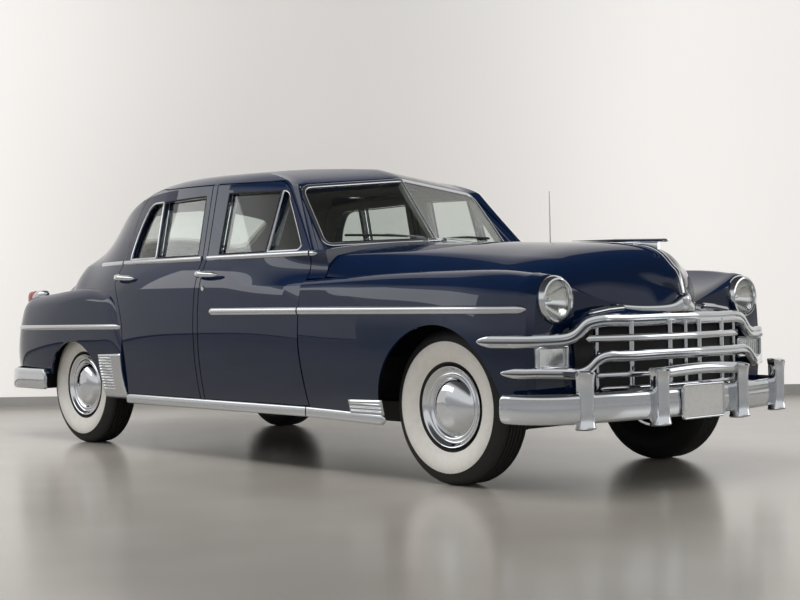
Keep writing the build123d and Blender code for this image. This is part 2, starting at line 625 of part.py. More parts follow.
nose_panel = bow_strip(FENDER_FRONT, NOSE_HALF, NOSE_BOW, NOSE_PANEL_T, NOSE_LOW, NOSE_HIGH)
GRILLE_HALF = 430
GRILLE_LOW = 470
GRILLE_HIGH = 770
nose_panel = nose_panel - box(FENDER_FRONT - 100, NOSE, -GRILLE_HALF, GRILLE_HALF, GRILLE_LOW, GRILLE_HIGH)
for _, side in SIDES:
    nose_panel = nose_panel + box(FENDER_FRONT - PANEL_WALL - 60, FENDER_FRONT - 10, side * (NOSE_HALF - 14),
                                  side * NOSE_HALF, NOSE_LOW, NOSE_HIGH)
write("nose_panel", nose_panel)

# Grille: bowed cross bars, upright bars, and arms that wrap round the fenders
GrilleBar = namedtuple("GrilleBar", "z height half end_x bow depth")
GRILLE_BARS = (
    GrilleBar(758, 46, 560, NOSE - 290, 136, 40),
    GrilleBar(679, 24, 600, NOSE - 262, 135, 30),
    GrilleBar(600, 38, 610, NOSE - 250, 133, 34),
    GrilleBar(516, 24, 620, NOSE - 240, 118, 30),
    GrilleBar(456, 20, 470, NOSE - 205, 70, 26),
)
UPRIGHTS = 7
UPRIGHT_PITCH = 118
bars = [bow_strip(b.end_x, b.half, b.bow, b.depth, b.z - b.height / 2, b.z + b.height / 2) for b in GRILLE_BARS]
grille = bars[0]
for bar in bars[1:]:
    grille = grille + bar
for i in range(UPRIGHTS):
    y = (i - (UPRIGHTS - 1) / 2) * UPRIGHT_PITCH
    reach = NOSE - 135 - 128 * (y / 560) ** 2
    width = 16 if y == 0 else 9
    grille = grille + box(reach - 34, reach, y - width, y + width, 450, 775)
GrilleArm = namedtuple("GrilleArm", "z height back front corner_y")
GRILLE_ARMS = (
    GrilleArm(676, 44, NOSE - 582, NOSE - 245, 900),
    GrilleArm(537, 34, NOSE - 453, NOSE - 218, 905),
)
ARM_T = 24
ARM_Y = 560
for _, side in SIDES:
    for arm in GRILLE_ARMS:
        wide = HALF + 14
        corner = FENDER_FRONT - 5
        turn = arm.front - 24
        plan = closed((arm.front, side * ARM_Y, 0), ((turn, side * 730, 0), (corner, side * arm.corner_y, 0)),
                      (arm.back, side * wide, 0), (arm.back, side * (wide - ARM_T), 0),
                      (corner - 20, side * (arm.corner_y - 60), 0),
                      ((turn - 34, side * 710, 0), (arm.front - 40, side * ARM_Y, 0)))
        grille = grille + plan_prism(plan, arm.z - arm.height / 2, arm.z + arm.height / 2)
    grille = grille + box(NOSE - 300, NOSE - 270, side * 545, side * 585, 654, 781)
grille = grille - fender_skin
grille = max(grille.solids(), key=lambda s: s.volume)
print("grille", [round(s.volume / 1e6, 2) for s in grille.solids()], grille.is_valid)
write("grille", grille)

# Bumpers: bowed blades that wrap round, with guards and brackets to the frame
RAIL_Y = 390
RAIL_W = 60
RAIL_FRONT = NOSE - 250
RAIL_REAR = TAIL + 200


def blade(tip, direction, bow_half, bow, end_x, z0, z1, thick):
    """A bumper blade: one long arc, a round corner each side and a straight wrap along the body."""
    half = BUMPER_WIDTH / 2
    corner = half - bow_half
    round_in = corner * (1 - math.sqrt(0.5))

    def p(x, y):
        return (tip - direction * x, y, 0)

    def side_run(sign, inset):
        knee = p(bow + inset, sign * bow_half)
        turn = p(bow + round_in + inset * 0.7, sign * (half - round_in - inset * 0.7))
        flank = p(bow + corner, sign * (half - inset))
        return knee, turn, flank, p(end_x, sign * (half - inset))

    k, t, f, e = side_run(-1, 0)
    k2, t2, f2, e2 = side_run(1, 0)
    ik, it, jf, ie = side_run(-1, thick)
    ik2, it2, jf2, ie2 = side_run(1, thick)
    return plan_prism(closed(e, f, (t, k), (p(0, 0), k2), (t2, f2), e2, ie2, jf2, (it2, ik2),
                             (p(thick, 0), ik), (it, jf), ie), z0, z1)


BLADE_T = 24
front_bumper = blade(NOSE - 53, 1, 700, 80, 378, 317, 449, BLADE_T)
GuardRow = namedtuple("GuardRow", "y low high reach")
FRONT_TIP = NOSE - 53
FRONT_BOW = 80 / 700 ** 2
GUARDS = (GuardRow(300, 284, 546, NOSE - FRONT_TIP + FRONT_BOW * 300 ** 2), GuardRow(720, 290, 548, 56))


def guard(back, tip, low, high, y):
    """An upright bumper guard with a rounded nose, from its back face to its tip."""
    out = 1 if tip > back else -1
    face = [(back, low), (tip - out * 25, low + 8), (tip - out * 6, low + 30), (tip, low + 70), (tip, high - 90),
            (tip - out * 8, high - 40), (tip - out * 26, high - 12), (tip - out * 48, high), (back, high - 40)]
    return side_prism(Wire.make_polygon([(x, 0, z) for x, z in face], close=True), y - 34, y + 34)


for _, side in SIDES:
    for y, low, high, reach in GUARDS:
        x = FRONT_TIP - FRONT_BOW * y ** 2
        front_bumper = front_bumper + guard(x - 26, x + reach, low, high, side * y)
    arm_x = NOSE - 53 - 80 * (RAIL_Y / 700) ** 2 - 12
    front_bumper = front_bumper + box(RAIL_FRONT + SEAT_GAP, arm_x, side * (RAIL_Y - 25), side * (RAIL_Y + 25), 345, 420)
bar_x = NOSE - 72
front_bumper = front_bumper + rod((bar_x, -300, 524), (bar_x, 300, 524), 13)
PLATE_X, PLATE_Z = NOSE - 49, 383
PLATE_HOLES_Y, PLATE_HOLES_Z, PLATE_HOLE_R = 177.8, 120.65, 3.5
front_bumper = front_bumper + box(PLATE_X - 8, PLATE_X, -115, 115, PLATE_Z - 76, PLATE_Z + 76)
for y in (-PLATE_HOLES_Y / 2, PLATE_HOLES_Y / 2):
    for z in (-PLATE_HOLES_Z / 2, PLATE_HOLES_Z / 2):
        front_bumper = front_bumper - rod((PLATE_X - 60, y, PLATE_Z + z), (PLATE_X + 5, y, PLATE_Z + z), PLATE_HOLE_R)
print("front bumper", [round(s.volume / 1e6, 2) for s in front_bumper.solids()], front_bumper.is_valid)
write("front_bumper", front_bumper)

rear_bumper = blade(TAIL + 4, -1, 640, 90, 738, 330, 462, BLADE_T)
for _, side in SIDES:
    arm_x = TAIL + 4 + 90 * (RAIL_Y / 640) ** 2 + 12
    rear_bumper = rear_bumper + box(RAIL_REAR - SEAT_GAP, arm_x, side * (RAIL_Y - 25), side * (RAIL_Y + 25), 345, 420)
    x = TAIL + 4 + 90 * (330 / 640) ** 2
    rear_bumper = rear_bumper + guard(x + 26, TAIL, 300, 545, side * 330)
print("rear bumper", [round(s.volume / 1e6, 2) for s in rear_bumper.solids()], rear_bumper.is_valid)
write("rear_bumper", rear_bumper)

# Lamps
HEAD_Y, HEAD_Z, HEAD_R = HALF - 235, 857, 105
PARK_Y, PARK_Z = HALF - 225, 604
HEAD_PROFILE = ((SEAT_GAP, 0), (SEAT_GAP, HEAD_R), (18, HEAD_R), (27, HEAD_R - 10), (31, HEAD_R - 24), (39, 55), (43, 28), (44, 0))
lamps = []
for _, side in SIDES:
    x = FENDER_FRONT
    head = Wire.make_polygon([(x + d, r, 0) for d, r in HEAD_PROFILE], close=True)
    head = Solid.revolve(Face(head), 360, Axis((0, 0, 0), (1, 0, 0)))
    lamps.append(head.moved(Location((0, side * HEAD_Y, HEAD_Z))))
    lamps.append(box(x + SEAT_GAP, x + 22, side * (PARK_Y - 72), side * (PARK_Y + 72), PARK_Z - 46, PARK_Z + 44))
write("front_lamps", *lamps)

TAIL_LAMP = (REAR_AXLE - 720, HALF - 135, 930)
tail_lamps = []
for _, side in SIDES:
    lamp = Solid.make_cone(30, 42, 60, Plane(origin=(TAIL_LAMP[0] - 60, side * TAIL_LAMP[1], TAIL_LAMP[2]), z_dir=(1, 0, 0)))
    tail_lamps.append(max((lamp - fender_room).solids(), key=lambda s: s.volume))
write("tail_lamps", *tail_lamps)

# Glass
write("windshield", *[pane(side, PANE_EDGE, SEAT_GAP, GLASS_T) for _, side in SIDES])
BACK_TILT = 29
back_plane = Plane(origin=(REAR_AXLE + 5, 0, 1420), x_dir=(0, 1, 0),
                   z_dir=(-math.sin(math.radians(BACK_TILT)), 0, math.cos(math.radians(BACK_TILT))))
BACK_W, BACK_H = 1000, 400


def back_window(shrink, depth):
    """The rear window's rounded outline carried through the roof."""
    face = back_plane * RectangleRounded(BACK_W - 2 * shrink, BACK_H - 2 * shrink, 90 - shrink)
    return extrude(face, depth, both=True)


roof = Compound(children=[max(roof.solids(), key=lambda s: s.volume)]) - back_window(0, 400)
write("roof", roof)
rear_glass = (glass_out - glass_in) & back_window(SEAT_GAP, 300)
rear_glass = max(rear_glass.solids(), key=lambda s: s.volume)
write("rear_window", rear_glass)
print("roof", [round(s.volume / 1e6, 2) for s in roof.solids()], "rear glass", round(rear_glass.volume / 1e6, 2))

# Hood ornament: a long low fin on the crown
fin_x = FRONT_AXLE + 166
fin = closed((fin_x, 0, 1100), (fin_x, 0, 1152), ((fin_x + 240, 0, 1163), (fin_x + 470, 0, 1140)),
             ((fin_x + 486, 0, 1128), (fin_x + 470, 0, 1100)))
fin = side_prism(fin, -11, 11) - hood_form(0, 0).moved(Location((0, 0, SEAT_GAP)))
fin = max(fin.solids(), key=lambda s: s.volume)
write("hood_ornament", fin)

# Frame: two rails that rise over the rear axle, with cross members
RAIL_H = 105
KICK_Z = 560
REAR_RAIL_Z = 430
RAIL_TOP = (
    (RAIL_FRONT, FRONT_RAIL_Z), (FRONT_AXLE - 330, FRONT_RAIL_Z), (FRONT_AXLE - 560, FLOOR_Z),
    (REAR_AXLE + 540, FLOOR_Z), (REAR_AXLE + 300, KICK_Z), (REAR_AXLE - 300, KICK_Z),
    (REAR_AXLE - 500, REAR_RAIL_Z), (RAIL_REAR, REAR_RAIL_Z),
)
rail_wire = Wire.make_polygon([(x, 0, z) for x, z in RAIL_TOP] + [(x, 0, z - RAIL_H) for x, z in reversed(RAIL_TOP)])
frame = None
for _, side in SIDES:
    rail = side_prism(rail_wire, side * RAIL_Y - RAIL_W / 2, side * RAIL_Y + RAIL_W / 2)
    frame = rail if frame is None else frame + rail
CROSS = ((FRONT_AXLE + 350, FRONT_AXLE + 460, 345, FRONT_RAIL_Z), (-60, 60, 230, 243),
         (RAIL_REAR + 30, RAIL_REAR + 90, 335, 420))
for x0, x1, z0, z1 in CROSS:
    frame = frame + box(x0, x1, -RAIL_Y, RAIL_Y, z0, z1)
write("frame", frame)

# Floor: firewall, toe board, cabin floor, hump over the axle and trunk floor, with the seat bulkhead
FLOOR_T = 15
FIREWALL_X = FRONT_AXLE - 890
FLOOR_RUN = ((FIREWALL_X - 120, FLOOR_Z), (REAR_DOOR_REAR, FLOOR_Z))
WALL_RUN = ((FIREWALL_X, FIREWALL_TOP), (FIREWALL_X, 560), (FIREWALL_X - 120, FLOOR_Z), (FIREWALL_X - 150, FLOOR_Z))
REAR_RUN = ((REAR_DOOR_REAR + 10, FLOOR_Z), *RAIL_TOP[3:7], (REAR_AXLE - 560, REAR_RAIL_Z))
TRUNK_RUN = ((REAR_AXLE - 550, REAR_RAIL_Z), (REAR_AXLE - 780, REAR_RAIL_Z))


def bent_plate(points, thick, half):
    """A plate of one thickness bent along a side-view line, above and behind it."""
    upper = []
    for i, (x, z) in enumerate(points):
        ahead = points[min(i + 1, len(points) - 1)]
        before = points[max(i - 1, 0)]
        turns = []
        for a, b in ((before, (x, z)), ((x, z), ahead)):
            if a != b:
                span = math.hypot(b[0] - a[0], b[1] - a[1])
                turns.append(((a[1] - b[1]) / span * -1, (b[0] - a[0]) / span * -1))
        nx = sum(t[0] for t in turns) / len(turns)
        nz = sum(t[1] for t in turns) / len(turns)
        scale = thick / (nx * nx + nz * nz)
        upper.append((x + nx * scale, 0, z + nz * scale))
    wire = Wire.make_polygon([(x, 0, z) for x, z in points] + upper[::-1], close=True)
    return side_prism(wire, -half, half)


FLOOR_HALF = HALF - 136
WELL_HALF = WELL_IN - 14
floor = bent_plate(FLOOR_RUN, FLOOR_T, FLOOR_HALF) + bent_plate(REAR_RUN, FLOOR_T, WELL_HALF)
floor = floor + bent_plate(WALL_RUN, FLOOR_T, HALF - 165) + bent_plate(TRUNK_RUN, FLOOR_T, 480)
SHELF_Z = 1030
floor = floor + box(REAR_AXLE + 158, REAR_AXLE + 170, -WELL_HALF, WELL_HALF, KICK_Z + 5, SHELF_Z)
floor = floor + box(REAR_AXLE - 190, REAR_AXLE + 170, -WELL_HALF, WELL_HALF, SHELF_Z - 12, SHELF_Z)
print("floor", [round(s.volume / 1e6, 2) for s in floor.solids()], floor.is_valid, floor.bounding_box())
write("floor", floor)

# Wheels and tyres: one profile each, turned about the axle
TYRE = ((RIM_R, -58), (RIM_R + 20, -64), (255, -96), (300, -TYRE_W / 2), (338, -92), (356, -78), (TYRE_R, -60),
        (TYRE_R, 60), (356, 78), (338, 92), (300, TYRE_W / 2), (255, 96), (RIM_R + 20, 64), (RIM_R, 58))
SPINDLE_R = 18
HUB_IN = -46
rim = RIM_R - SEAT_GAP
WHEEL = ((0, 94), (60, 88), (118, 70), (134, 62), (152, 66), (176, 79), (RIM_R + 13, 75), (RIM_R + 13, 66),
         (rim, 64), (rim, -RIM_W / 2), (rim - 12, -RIM_W / 2), (rim - 12, 40), (152, 50), (140, 24), (140, -38),
         (130, -38), (130, 14), (60, 14), (60, HUB_IN), (SPINDLE_R + 0.4, HUB_IN), (SPINDLE_R + 0.4, 24), (0, 24))
AXLES = (("front", FRONT_AXLE, FRONT_WHEEL_Y), ("rear", REAR_AXLE, REAR_WHEEL_Y))
for end, x, y in AXLES:
    for side_name, side in SIDES:
        centre = (x, side * y, TYRE_R)
        write(f"tyre_{end}_{side_name}", ring_y(TYRE, centre))
        write(f"wheel_{end}_{side_name}", ring_y([(r, side * w) for r, w in WHEEL], centre))

# Rear axle: tubes, differential, drive pinion housing and leaf springs with their hangers
AXLE_TUBE_R = 40
tube_end = REAR_WHEEL_Y + HUB_IN - 6
rear_axle = rod((REAR_AXLE, -tube_end, TYRE_R), (REAR_AXLE, tube_end, TYRE_R), AXLE_TUBE_R)
rear_axle = rear_axle + Pos(REAR_AXLE, 0, TYRE_R) * Solid.make_sphere(135)
PINION_X = REAR_AXLE + 150
PINION_Z = 300
rear_axle = rear_axle + rod((REAR_AXLE, 0, TYRE_R - 20), (PINION_X, 0, PINION_Z), 46)
rear_axle = rear_axle + rod((PINION_X - 20, 0, PINION_Z), (PINION_X + 30, 0, PINION_Z), 38)
SPRING_Y = 500
SPRING_HALF = 640
for _, side in SIDES:
    rear_axle = rear_axle + rod((REAR_AXLE, side * (tube_end - 1), TYRE_R),
                                (REAR_AXLE, side * (REAR_WHEEL_Y + 18), TYRE_R), SPINDLE_R)
    leaf = closed((REAR_AXLE + SPRING_HALF, 0, 322), ((REAR_AXLE, 0, 300), (REAR_AXLE - SPRING_HALF, 0, 346)),
                  (REAR_AXLE - SPRING_HALF, 0, 330), ((REAR_AXLE, 0, 270), (REAR_AXLE + SPRING_HALF, 0, 306)))
    rear_axle = rear_axle + side_prism(leaf, side * SPRING_Y - 28, side * SPRING_Y + 28)
    rear_axle = rear_axle + box(REAR_AXLE - 50, REAR_AXLE + 50, side * SPRING_Y - 32, side * SPRING_Y + 32, 280, TYRE_R)
    for x, z0, z1 in ((REAR_AXLE + SPRING_HALF, 295, FLOOR_Z - 3), (REAR_AXLE - SPRING_HALF, 328, 368)):
        rear_axle = rear_axle + box(x - 20, x + 20, side * (RAIL_Y + RAIL_W / 2 + SEAT_GAP), side * (SPRING_Y + 28), z0, z1)
print("rear axle", [round(s.volume / 1e6, 2) for s in rear_axle.solids()], rear_axle.is_valid)
write("rear_axle", rear_axle)

# Front suspension: cross member, wishbones and coil springs; knuckles turn on king pins in the wishbones' eyes
PIN_R = 11
LOWER_Z = TYRE_R - 115
UPPER_Z = TYRE_R + 115
ARM_H = 22
CROSS_X = 110
suspension = box(FRONT_AXLE - CROSS_X, FRONT_AXLE + CROSS_X, -440, 440, LOWER_Z - ARM_H / 2, FRONT_RAIL_Z - RAIL_H - SEAT_GAP)
for _, side in SIDES:
    pin = side * KINGPIN_Y
    for z, root, spread, low in ((LOWER_Z, 430, 130, 0), (UPPER_Z, 412, 80, 1)):
        fork = Wire.make_polygon([(FRONT_AXLE - spread, side * root, 0), (FRONT_AXLE - 20, pin, 0),
                                  (FRONT_AXLE + 20, pin, 0), (FRONT_AXLE + spread, side * root, 0)], close=True)
        slot = Wire.make_polygon([(FRONT_AXLE - spread + 55, side * (root + 30), 0), (FRONT_AXLE - 12, pin - side * 60, 0),
                                  (FRONT_AXLE + 12, pin - side * 60, 0), (FRONT_AXLE + spread - 55, side * (root + 30), 0)],
                                 close=True)
        arm = plan_prism(fork, z - ARM_H / 2, z + ARM_H / 2) - plan_prism(slot, z - ARM_H, z + ARM_H)
        arm = arm + rod((FRONT_AXLE, pin, z - ARM_H / 2), (FRONT_AXLE, pin, z + ARM_H / 2), 24)
        arm = arm - rod((FRONT_AXLE, pin, z - ARM_H), (FRONT_AXLE, pin, z + ARM_H), PIN_R + 0.5)
        suspension = suspension + arm
    tower = side * (RAIL_Y + RAIL_W / 2)
    suspension = suspension + box(FRONT_AXLE - 80, FRONT_AXLE + 80, tower - side * 50, tower + side * 12,
                                  FRONT_RAIL_Z + SEAT_GAP, UPPER_Z + ARM_H / 2)
    coil_y = side * 520
    suspension = suspension + rod((FRONT_AXLE, coil_y, LOWER_Z - 4), (FRONT_AXLE, coil_y, UPPER_Z), 50)
    upright = box(FRONT_AXLE - 24, FRONT_AXLE + 24, pin - side * 22, side * (FRONT_WHEEL_Y + HUB_IN - 6),
                  LOWER_Z + ARM_H / 2 + 4, UPPER_Z - ARM_H / 2 - 4)
    upright = upright + rod((FRONT_AXLE, pin, LOWER_Z - ARM_H / 2), (FRONT_AXLE, pin, UPPER_Z + ARM_H / 2), PIN_R)
    upright = upright + rod((FRONT_AXLE, pin, TYRE_R), (FRONT_AXLE, side * (FRONT_WHEEL_Y + 18), TYRE_R), SPINDLE_R)
    write("knuckle_right" if side < 0 else "knuckle_left", upright)
print("suspension", [round(s.volume / 1e6, 2) for s in suspension.solids()], suspension.is_valid)
write("front_suspension", suspension)

# Engine block with its gearbox, and the shaft to the rear axle
ENGINE_REAR = FRONT_AXLE - 690
GEARBOX_Z = 283
GEARBOX_REAR = FRONT_AXLE - 1090
engine = box(ENGINE_REAR, FRONT_AXLE + 170, -170, 170, 400, 940)
engine = engine + rod((ENGINE_REAR - 130, 0, 420), (ENGINE_REAR + 5, 0, 420), 140)
engine = engine + rod((GEARBOX_REAR, 0, GEARBOX_Z), (ENGINE_REAR + 5, 0, GEARBOX_Z), 46)
for x in (FRONT_AXLE - 80, FRONT_AXLE + 80):
    for _, side in SIDES:
        engine = engine + box(x - 25, x + 25, side * 160, side * 335, 455, 490)
        engine = engine + box(x - 25, x + 25, side * 335, side * (RAIL_Y - 22), FRONT_RAIL_Z + SEAT_GAP, 490)
print("engine", [round(s.volume / 1e6, 2) for s in engine.solids()], engine.is_valid)
write("engine", engine)
write("propeller_shaft", rod((GEARBOX_REAR - 2 * SEAT_GAP, 0, GEARBOX_Z), (PINION_X + 30 + 2 * SEAT_GAP, 0, PINION_Z), 31))

# Radiator, exhaust and fuel tank
write("radiator", box(FRONT_AXLE + 375, FRONT_AXLE + 440, -280, 280, FRONT_RAIL_Z + SEAT_GAP, 985))
PIPE_Y, PIPE_Z, PIPE_R = -250, 274, 23
exhaust = rod((ENGINE_REAR, PIPE_Y, PIPE_Z), (TAIL + 150, PIPE_Y, PIPE_Z), PIPE_R)
exhaust = exhaust + rod((FRONT_AXLE - 2150, PIPE_Y, PIPE_Z - 4), (FRONT_AXLE - 2650, PIPE_Y, PIPE_Z - 4), 56)
for x in (FRONT_AXLE - 1200, FRONT_AXLE - 2050, FRONT_AXLE - 2720):
    exhaust = exhaust + box(x - 12, x + 12, PIPE_Y - 10, PIPE_Y + 10, PIPE_Z, FLOOR_Z - SEAT_GAP)
write("exhaust", exhaust)
tank = box(REAR_AXLE - 735, REAR_AXLE - 520, -190, 330, 285, REAR_RAIL_Z - SEAT_GAP)
write("fuel_tank", tank)

# Cabin fittings
DASH_HALF = HALF - 195
dash_back = FIREWALL_X - FLOOR_T - SEAT_GAP
dash = closed((dash_back, 0, 1085), (dash_back - 240, 0, 1108), ((dash_back - 272, 0, 1100), (dash_back - 285, 0, 1070)),
              (dash_back - 270, 0, 900), (dash_back - 190, 0, 880), (dash_back, 0, 960))
dashboard = side_prism(dash, -DASH_HALF, DASH_HALF)
COLUMN_Y = 370
COLUMN_TOP = (FRONT_AXLE - 1350, COLUMN_Y, 1030)
COLUMN_FOOT = (dash_back - 16, COLUMN_Y, 640)
column = rod(COLUMN_FOOT, COLUMN_TOP, 22)
bracket = box(dash_back - 230, dash_back - 200, COLUMN_Y - 12, COLUMN_Y + 12, 815, 900)
dashboard = dashboard + column + bracket
print("dash", [round(s.volume / 1e6, 2) for s in dashboard.solids()], dashboard.is_valid)
write("dashboard", dashboard)

axis = (Vector(*COLUMN_TOP) - Vector(*COLUMN_FOOT)).normalized()
WHEEL_RIM_R = 212
hub = Vector(*COLUMN_TOP) + axis * (SEAT_GAP + 22)
rim_ring = Wire.make_polygon([(WHEEL_RIM_R + 13 * math.cos(math.radians(t)), 0, 13 * math.sin(math.radians(t)))
                              for t in range(0, 360, 45)], close=True)
steering_wheel = Pos(0, 0, 0) * Cylinder(34, 44)
for turn in (20, 160):
    steering_wheel = steering_wheel + Rot(0, 0, turn) * box(20, WHEEL_RIM_R, -9, 9, -5, 5)
steering_wheel = steering_wheel + Solid.revolve(Face(rim_ring), 360, Axis((0, 0, 0), (0, 0, 1)))
steering_wheel = Plane(origin=hub, x_dir=(0, 1, 0), z_dir=axis) * steering_wheel
print("steering wheel", [round(s.volume / 1e6, 2) for s in steering_wheel.solids()], steering_wheel.is_valid, hub, axis)
write("steering_wheel", steering_wheel)

SEAT_Z = FLOOR_Z + FLOOR_T + SEAT_GAP
x = FRONT_AXLE - 1600
front_seat = closed((x - 30, 0, SEAT_Z), (x + 10, 0, 560), ((x - 10, 0, 622), (x - 90, 0, 650)), (x - 380, 0, 612),
                    (x - 520, 0, 1045), ((x - 565, 0, 1082), (x - 630, 0, 1050)), (x - 570, 0, SEAT_Z))
write("front_seat", side_prism(front_seat, -(HALF - 215), HALF - 215))
x = REAR_AXLE + 900
rear_seat = closed((x - 30, 0, SEAT_Z), (x, 0, 560), ((x - 20, 0, 615), (x - 90, 0, 637)), (x - 430, 0, 602),
                   (x - 590, 0, 980), ((x - 625, 0, 1012), (x - 680, 0, 1000)), (x - 724, 0, 592),
                   (x - 590, 0, 592), (x - 345, 0, SEAT_Z))
write("rear_seat", side_prism(rear_seat, -(WELL_HALF - 6), WELL_HALF - 6))
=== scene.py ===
# %% [markdown]
# A classic four-door sedan in deep navy enamel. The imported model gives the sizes, the joints and the hidden
# machinery. This lesson dresses it: smooth painted panels, plated trim, white-wall tyres, lamps, glass and
# cloth. Everything is in millimetres until the moment it becomes a mesh, where one factor turns it into
# metres.

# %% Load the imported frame
import bpy
import math
import numpy as np
from mathutils import Matrix


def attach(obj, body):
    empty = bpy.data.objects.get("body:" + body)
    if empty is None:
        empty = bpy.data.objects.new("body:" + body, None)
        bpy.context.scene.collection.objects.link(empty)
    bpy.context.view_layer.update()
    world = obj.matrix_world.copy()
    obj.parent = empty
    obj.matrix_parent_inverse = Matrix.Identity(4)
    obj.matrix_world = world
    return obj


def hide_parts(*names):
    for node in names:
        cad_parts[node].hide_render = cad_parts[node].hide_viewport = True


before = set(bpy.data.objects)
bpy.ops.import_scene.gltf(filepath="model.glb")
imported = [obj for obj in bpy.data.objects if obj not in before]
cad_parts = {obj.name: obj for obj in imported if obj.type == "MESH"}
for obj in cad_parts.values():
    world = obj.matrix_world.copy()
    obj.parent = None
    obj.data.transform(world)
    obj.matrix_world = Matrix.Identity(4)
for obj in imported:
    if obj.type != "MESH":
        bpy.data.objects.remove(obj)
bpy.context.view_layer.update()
MM = 0.001

# %% [markdown]
# The camera stands low, ahead and to the right of the car, as in a studio portrait. It could be placed by
# eye, but its place, turn and slight roll were worked out from the wheels and lamps instead, so each edge
# falls where it should.

# %% Camera
AZIMUTH, PITCH, ROLL = np.radians([48.102, -0.019, -0.954])
EYE = (6.688, -5.552, 0.866)
FOCAL_PX, FRAME_PX, SENSOR_MM = 1466, 800, 36
back = np.array([math.sin(AZIMUTH) * math.cos(PITCH), -math.cos(AZIMUTH) * math.cos(PITCH), math.sin(PITCH)])
right = np.array([math.cos(AZIMUTH), math.sin(AZIMUTH), 0.0])
up = np.cross(back, right)
right, up = right * math.cos(ROLL) + up * math.sin(ROLL), up * math.cos(ROLL) - right * math.sin(ROLL)
lens = bpy.data.cameras.new("portrait_lens")
lens.sensor_width = SENSOR_MM
lens.lens = FOCAL_PX * SENSOR_MM / FRAME_PX
lens.clip_end = 100
camera = bpy.data.objects.new("portrait_camera", lens)


def placed(*columns):
    """World matrix from the three axes and the place of an object, one column each."""
    turn = np.eye(4)
    turn[:3] = np.stack(columns, axis=1)
    return Matrix(turn.tolist())


camera.matrix_world = placed(right, up, back, EYE)
bpy.context.collection.objects.link(camera)
bpy.context.scene.camera = camera
bpy.context.scene.view_settings.view_transform = "Standard"
print("camera lens", round(lens.lens, 2), "mm")

# %% [markdown]
# Finishes. Each material starts from what the real one is. Painted images could give the colour, but nodes
# need no file and keep their grain in millimetres on every piece. Colours are written as sRGB hex and turned
# to linear by one function, one small function adds a node with its settings and links, and most finishes
# are one noise of one grain.

# %% Material helpers
def linear(code):
    """sRGB hex to linear RGBA: the two-part curve of the sRGB standard."""
    c = np.array([int(code[i:i + 2], 16) for i in (1, 3, 5)]) / 255
    return (*np.where(c <= 0.04045, c / 12.92, ((c + 0.055) / 1.055) ** 2.4), 1.0)


def add(tree, kind, links=None, **settings):
    """Adds one node: settings go to attributes or sockets, links join a socket to another node's output."""
    node = tree.nodes.new(kind)
    for key, value in settings.items():
        if key in node.inputs:
            node.inputs[key].default_value = value
        elif key.replace("_", " ") in node.inputs:
            node.inputs[key.replace("_", " ")].default_value = value
        else:
            setattr(node, key, value)
    for socket, output in (links or {}).items():
        tree.links.new(output, node.inputs[socket])
    return node


def finish(name, colour, **settings):
    """A material with one Principled shader; settings are written on the shader's own sockets."""
    material = bpy.data.materials.new(name)
    material.use_nodes = True
    shader = material.node_tree.nodes["Principled BSDF"]
    shader.inputs["Base Color"].default_value = linear(colour)
    for key, value in settings.items():
        shader.inputs[key.replace("_", " ")].default_value = value
    return material, material.node_tree, shader


def mottle(tree, shader, grain_mm, colours=None, rough=None, bump=0.0, detail=4.0):
    """Noise of one grain size on object coordinates, led to colour, roughness and bump."""
    place = add(tree, "ShaderNodeTexCoord")
    noise = add(tree, "ShaderNodeTexNoise", {"Vector": place.outputs["Object"]},
                Scale=1 / (grain_mm * MM), Detail=detail, Roughness=0.6)
    if colours:
        ramp = add(tree, "ShaderNodeValToRGB", {"Fac": noise.outputs["Fac"]})
        for stop, colour, position in zip(ramp.color_ramp.elements, colours, (0.3, 0.7)):
            stop.color = linear(colour)
            stop.position = position
        tree.links.new(ramp.outputs["Color"], shader.inputs["Base Color"])
    if rough:
        span = add(tree, "ShaderNodeMapRange", {"Value": noise.outputs["Fac"]}, To_Min=rough[0],
                   To_Max=rough[1])
        tree.links.new(span.outputs["Result"], shader.inputs["Roughness"])
    if bump:
        relief = add(tree, "ShaderNodeBump", {"Height": noise.outputs["Fac"]}, Strength=bump,
                     Distance=grain_mm * MM)
        tree.links.new(relief.outputs["Normal"], shader.inputs["Normal"])


def grained(name, grain_mm, colours, rough=None, bump=0.0, **settings):
    """A whole finish: one shader, and noise of one grain between two colours; one colour stays plain."""
    material, tree, shader = finish(name, colours[0], **settings)
    mottle(tree, shader, grain_mm, colours[1:], rough, bump)
    return material


# %% [markdown]
# The car's own finishes, from the outside in: enamel, plating, glass, rubber, black iron, cloth and plastic.

# %% Finishes
# Navy enamel: several sprayed and polished coats. The colour is deep and drifts a little over a hand's
# breadth; the clear gloss on top is what the eye sees.
navy = grained("navy_enamel", 260, ("#081b38", "#071934", "#091d3c"), Roughness=0.5, Specular_IOR_Level=0.0,
               Coat_Weight=1.0, Coat_Roughness=0.02)
# Chromium plate over polished steel: a clean mirror with a trace of haze from polishing.
chrome = grained("chromium_plate", 45, ("#d3d6da",), (0.04, 0.11), Metallic=1.0, Roughness=0.07)
# Stainless mouldings are rolled and buffed, a little softer than plate.
stainless = grained("buffed_stainless", 18, ("#c9ccd0",), (0.12, 0.22), Metallic=1.0, Roughness=0.16)
# Flat window glass, faintly green at the edge.
glass = grained("sheet_glass", 500, ("#eef4f0", "#eaf2ee", "#f2f6f4"), Roughness=0.0, IOR=1.5,
                Transmission_Weight=1.0)
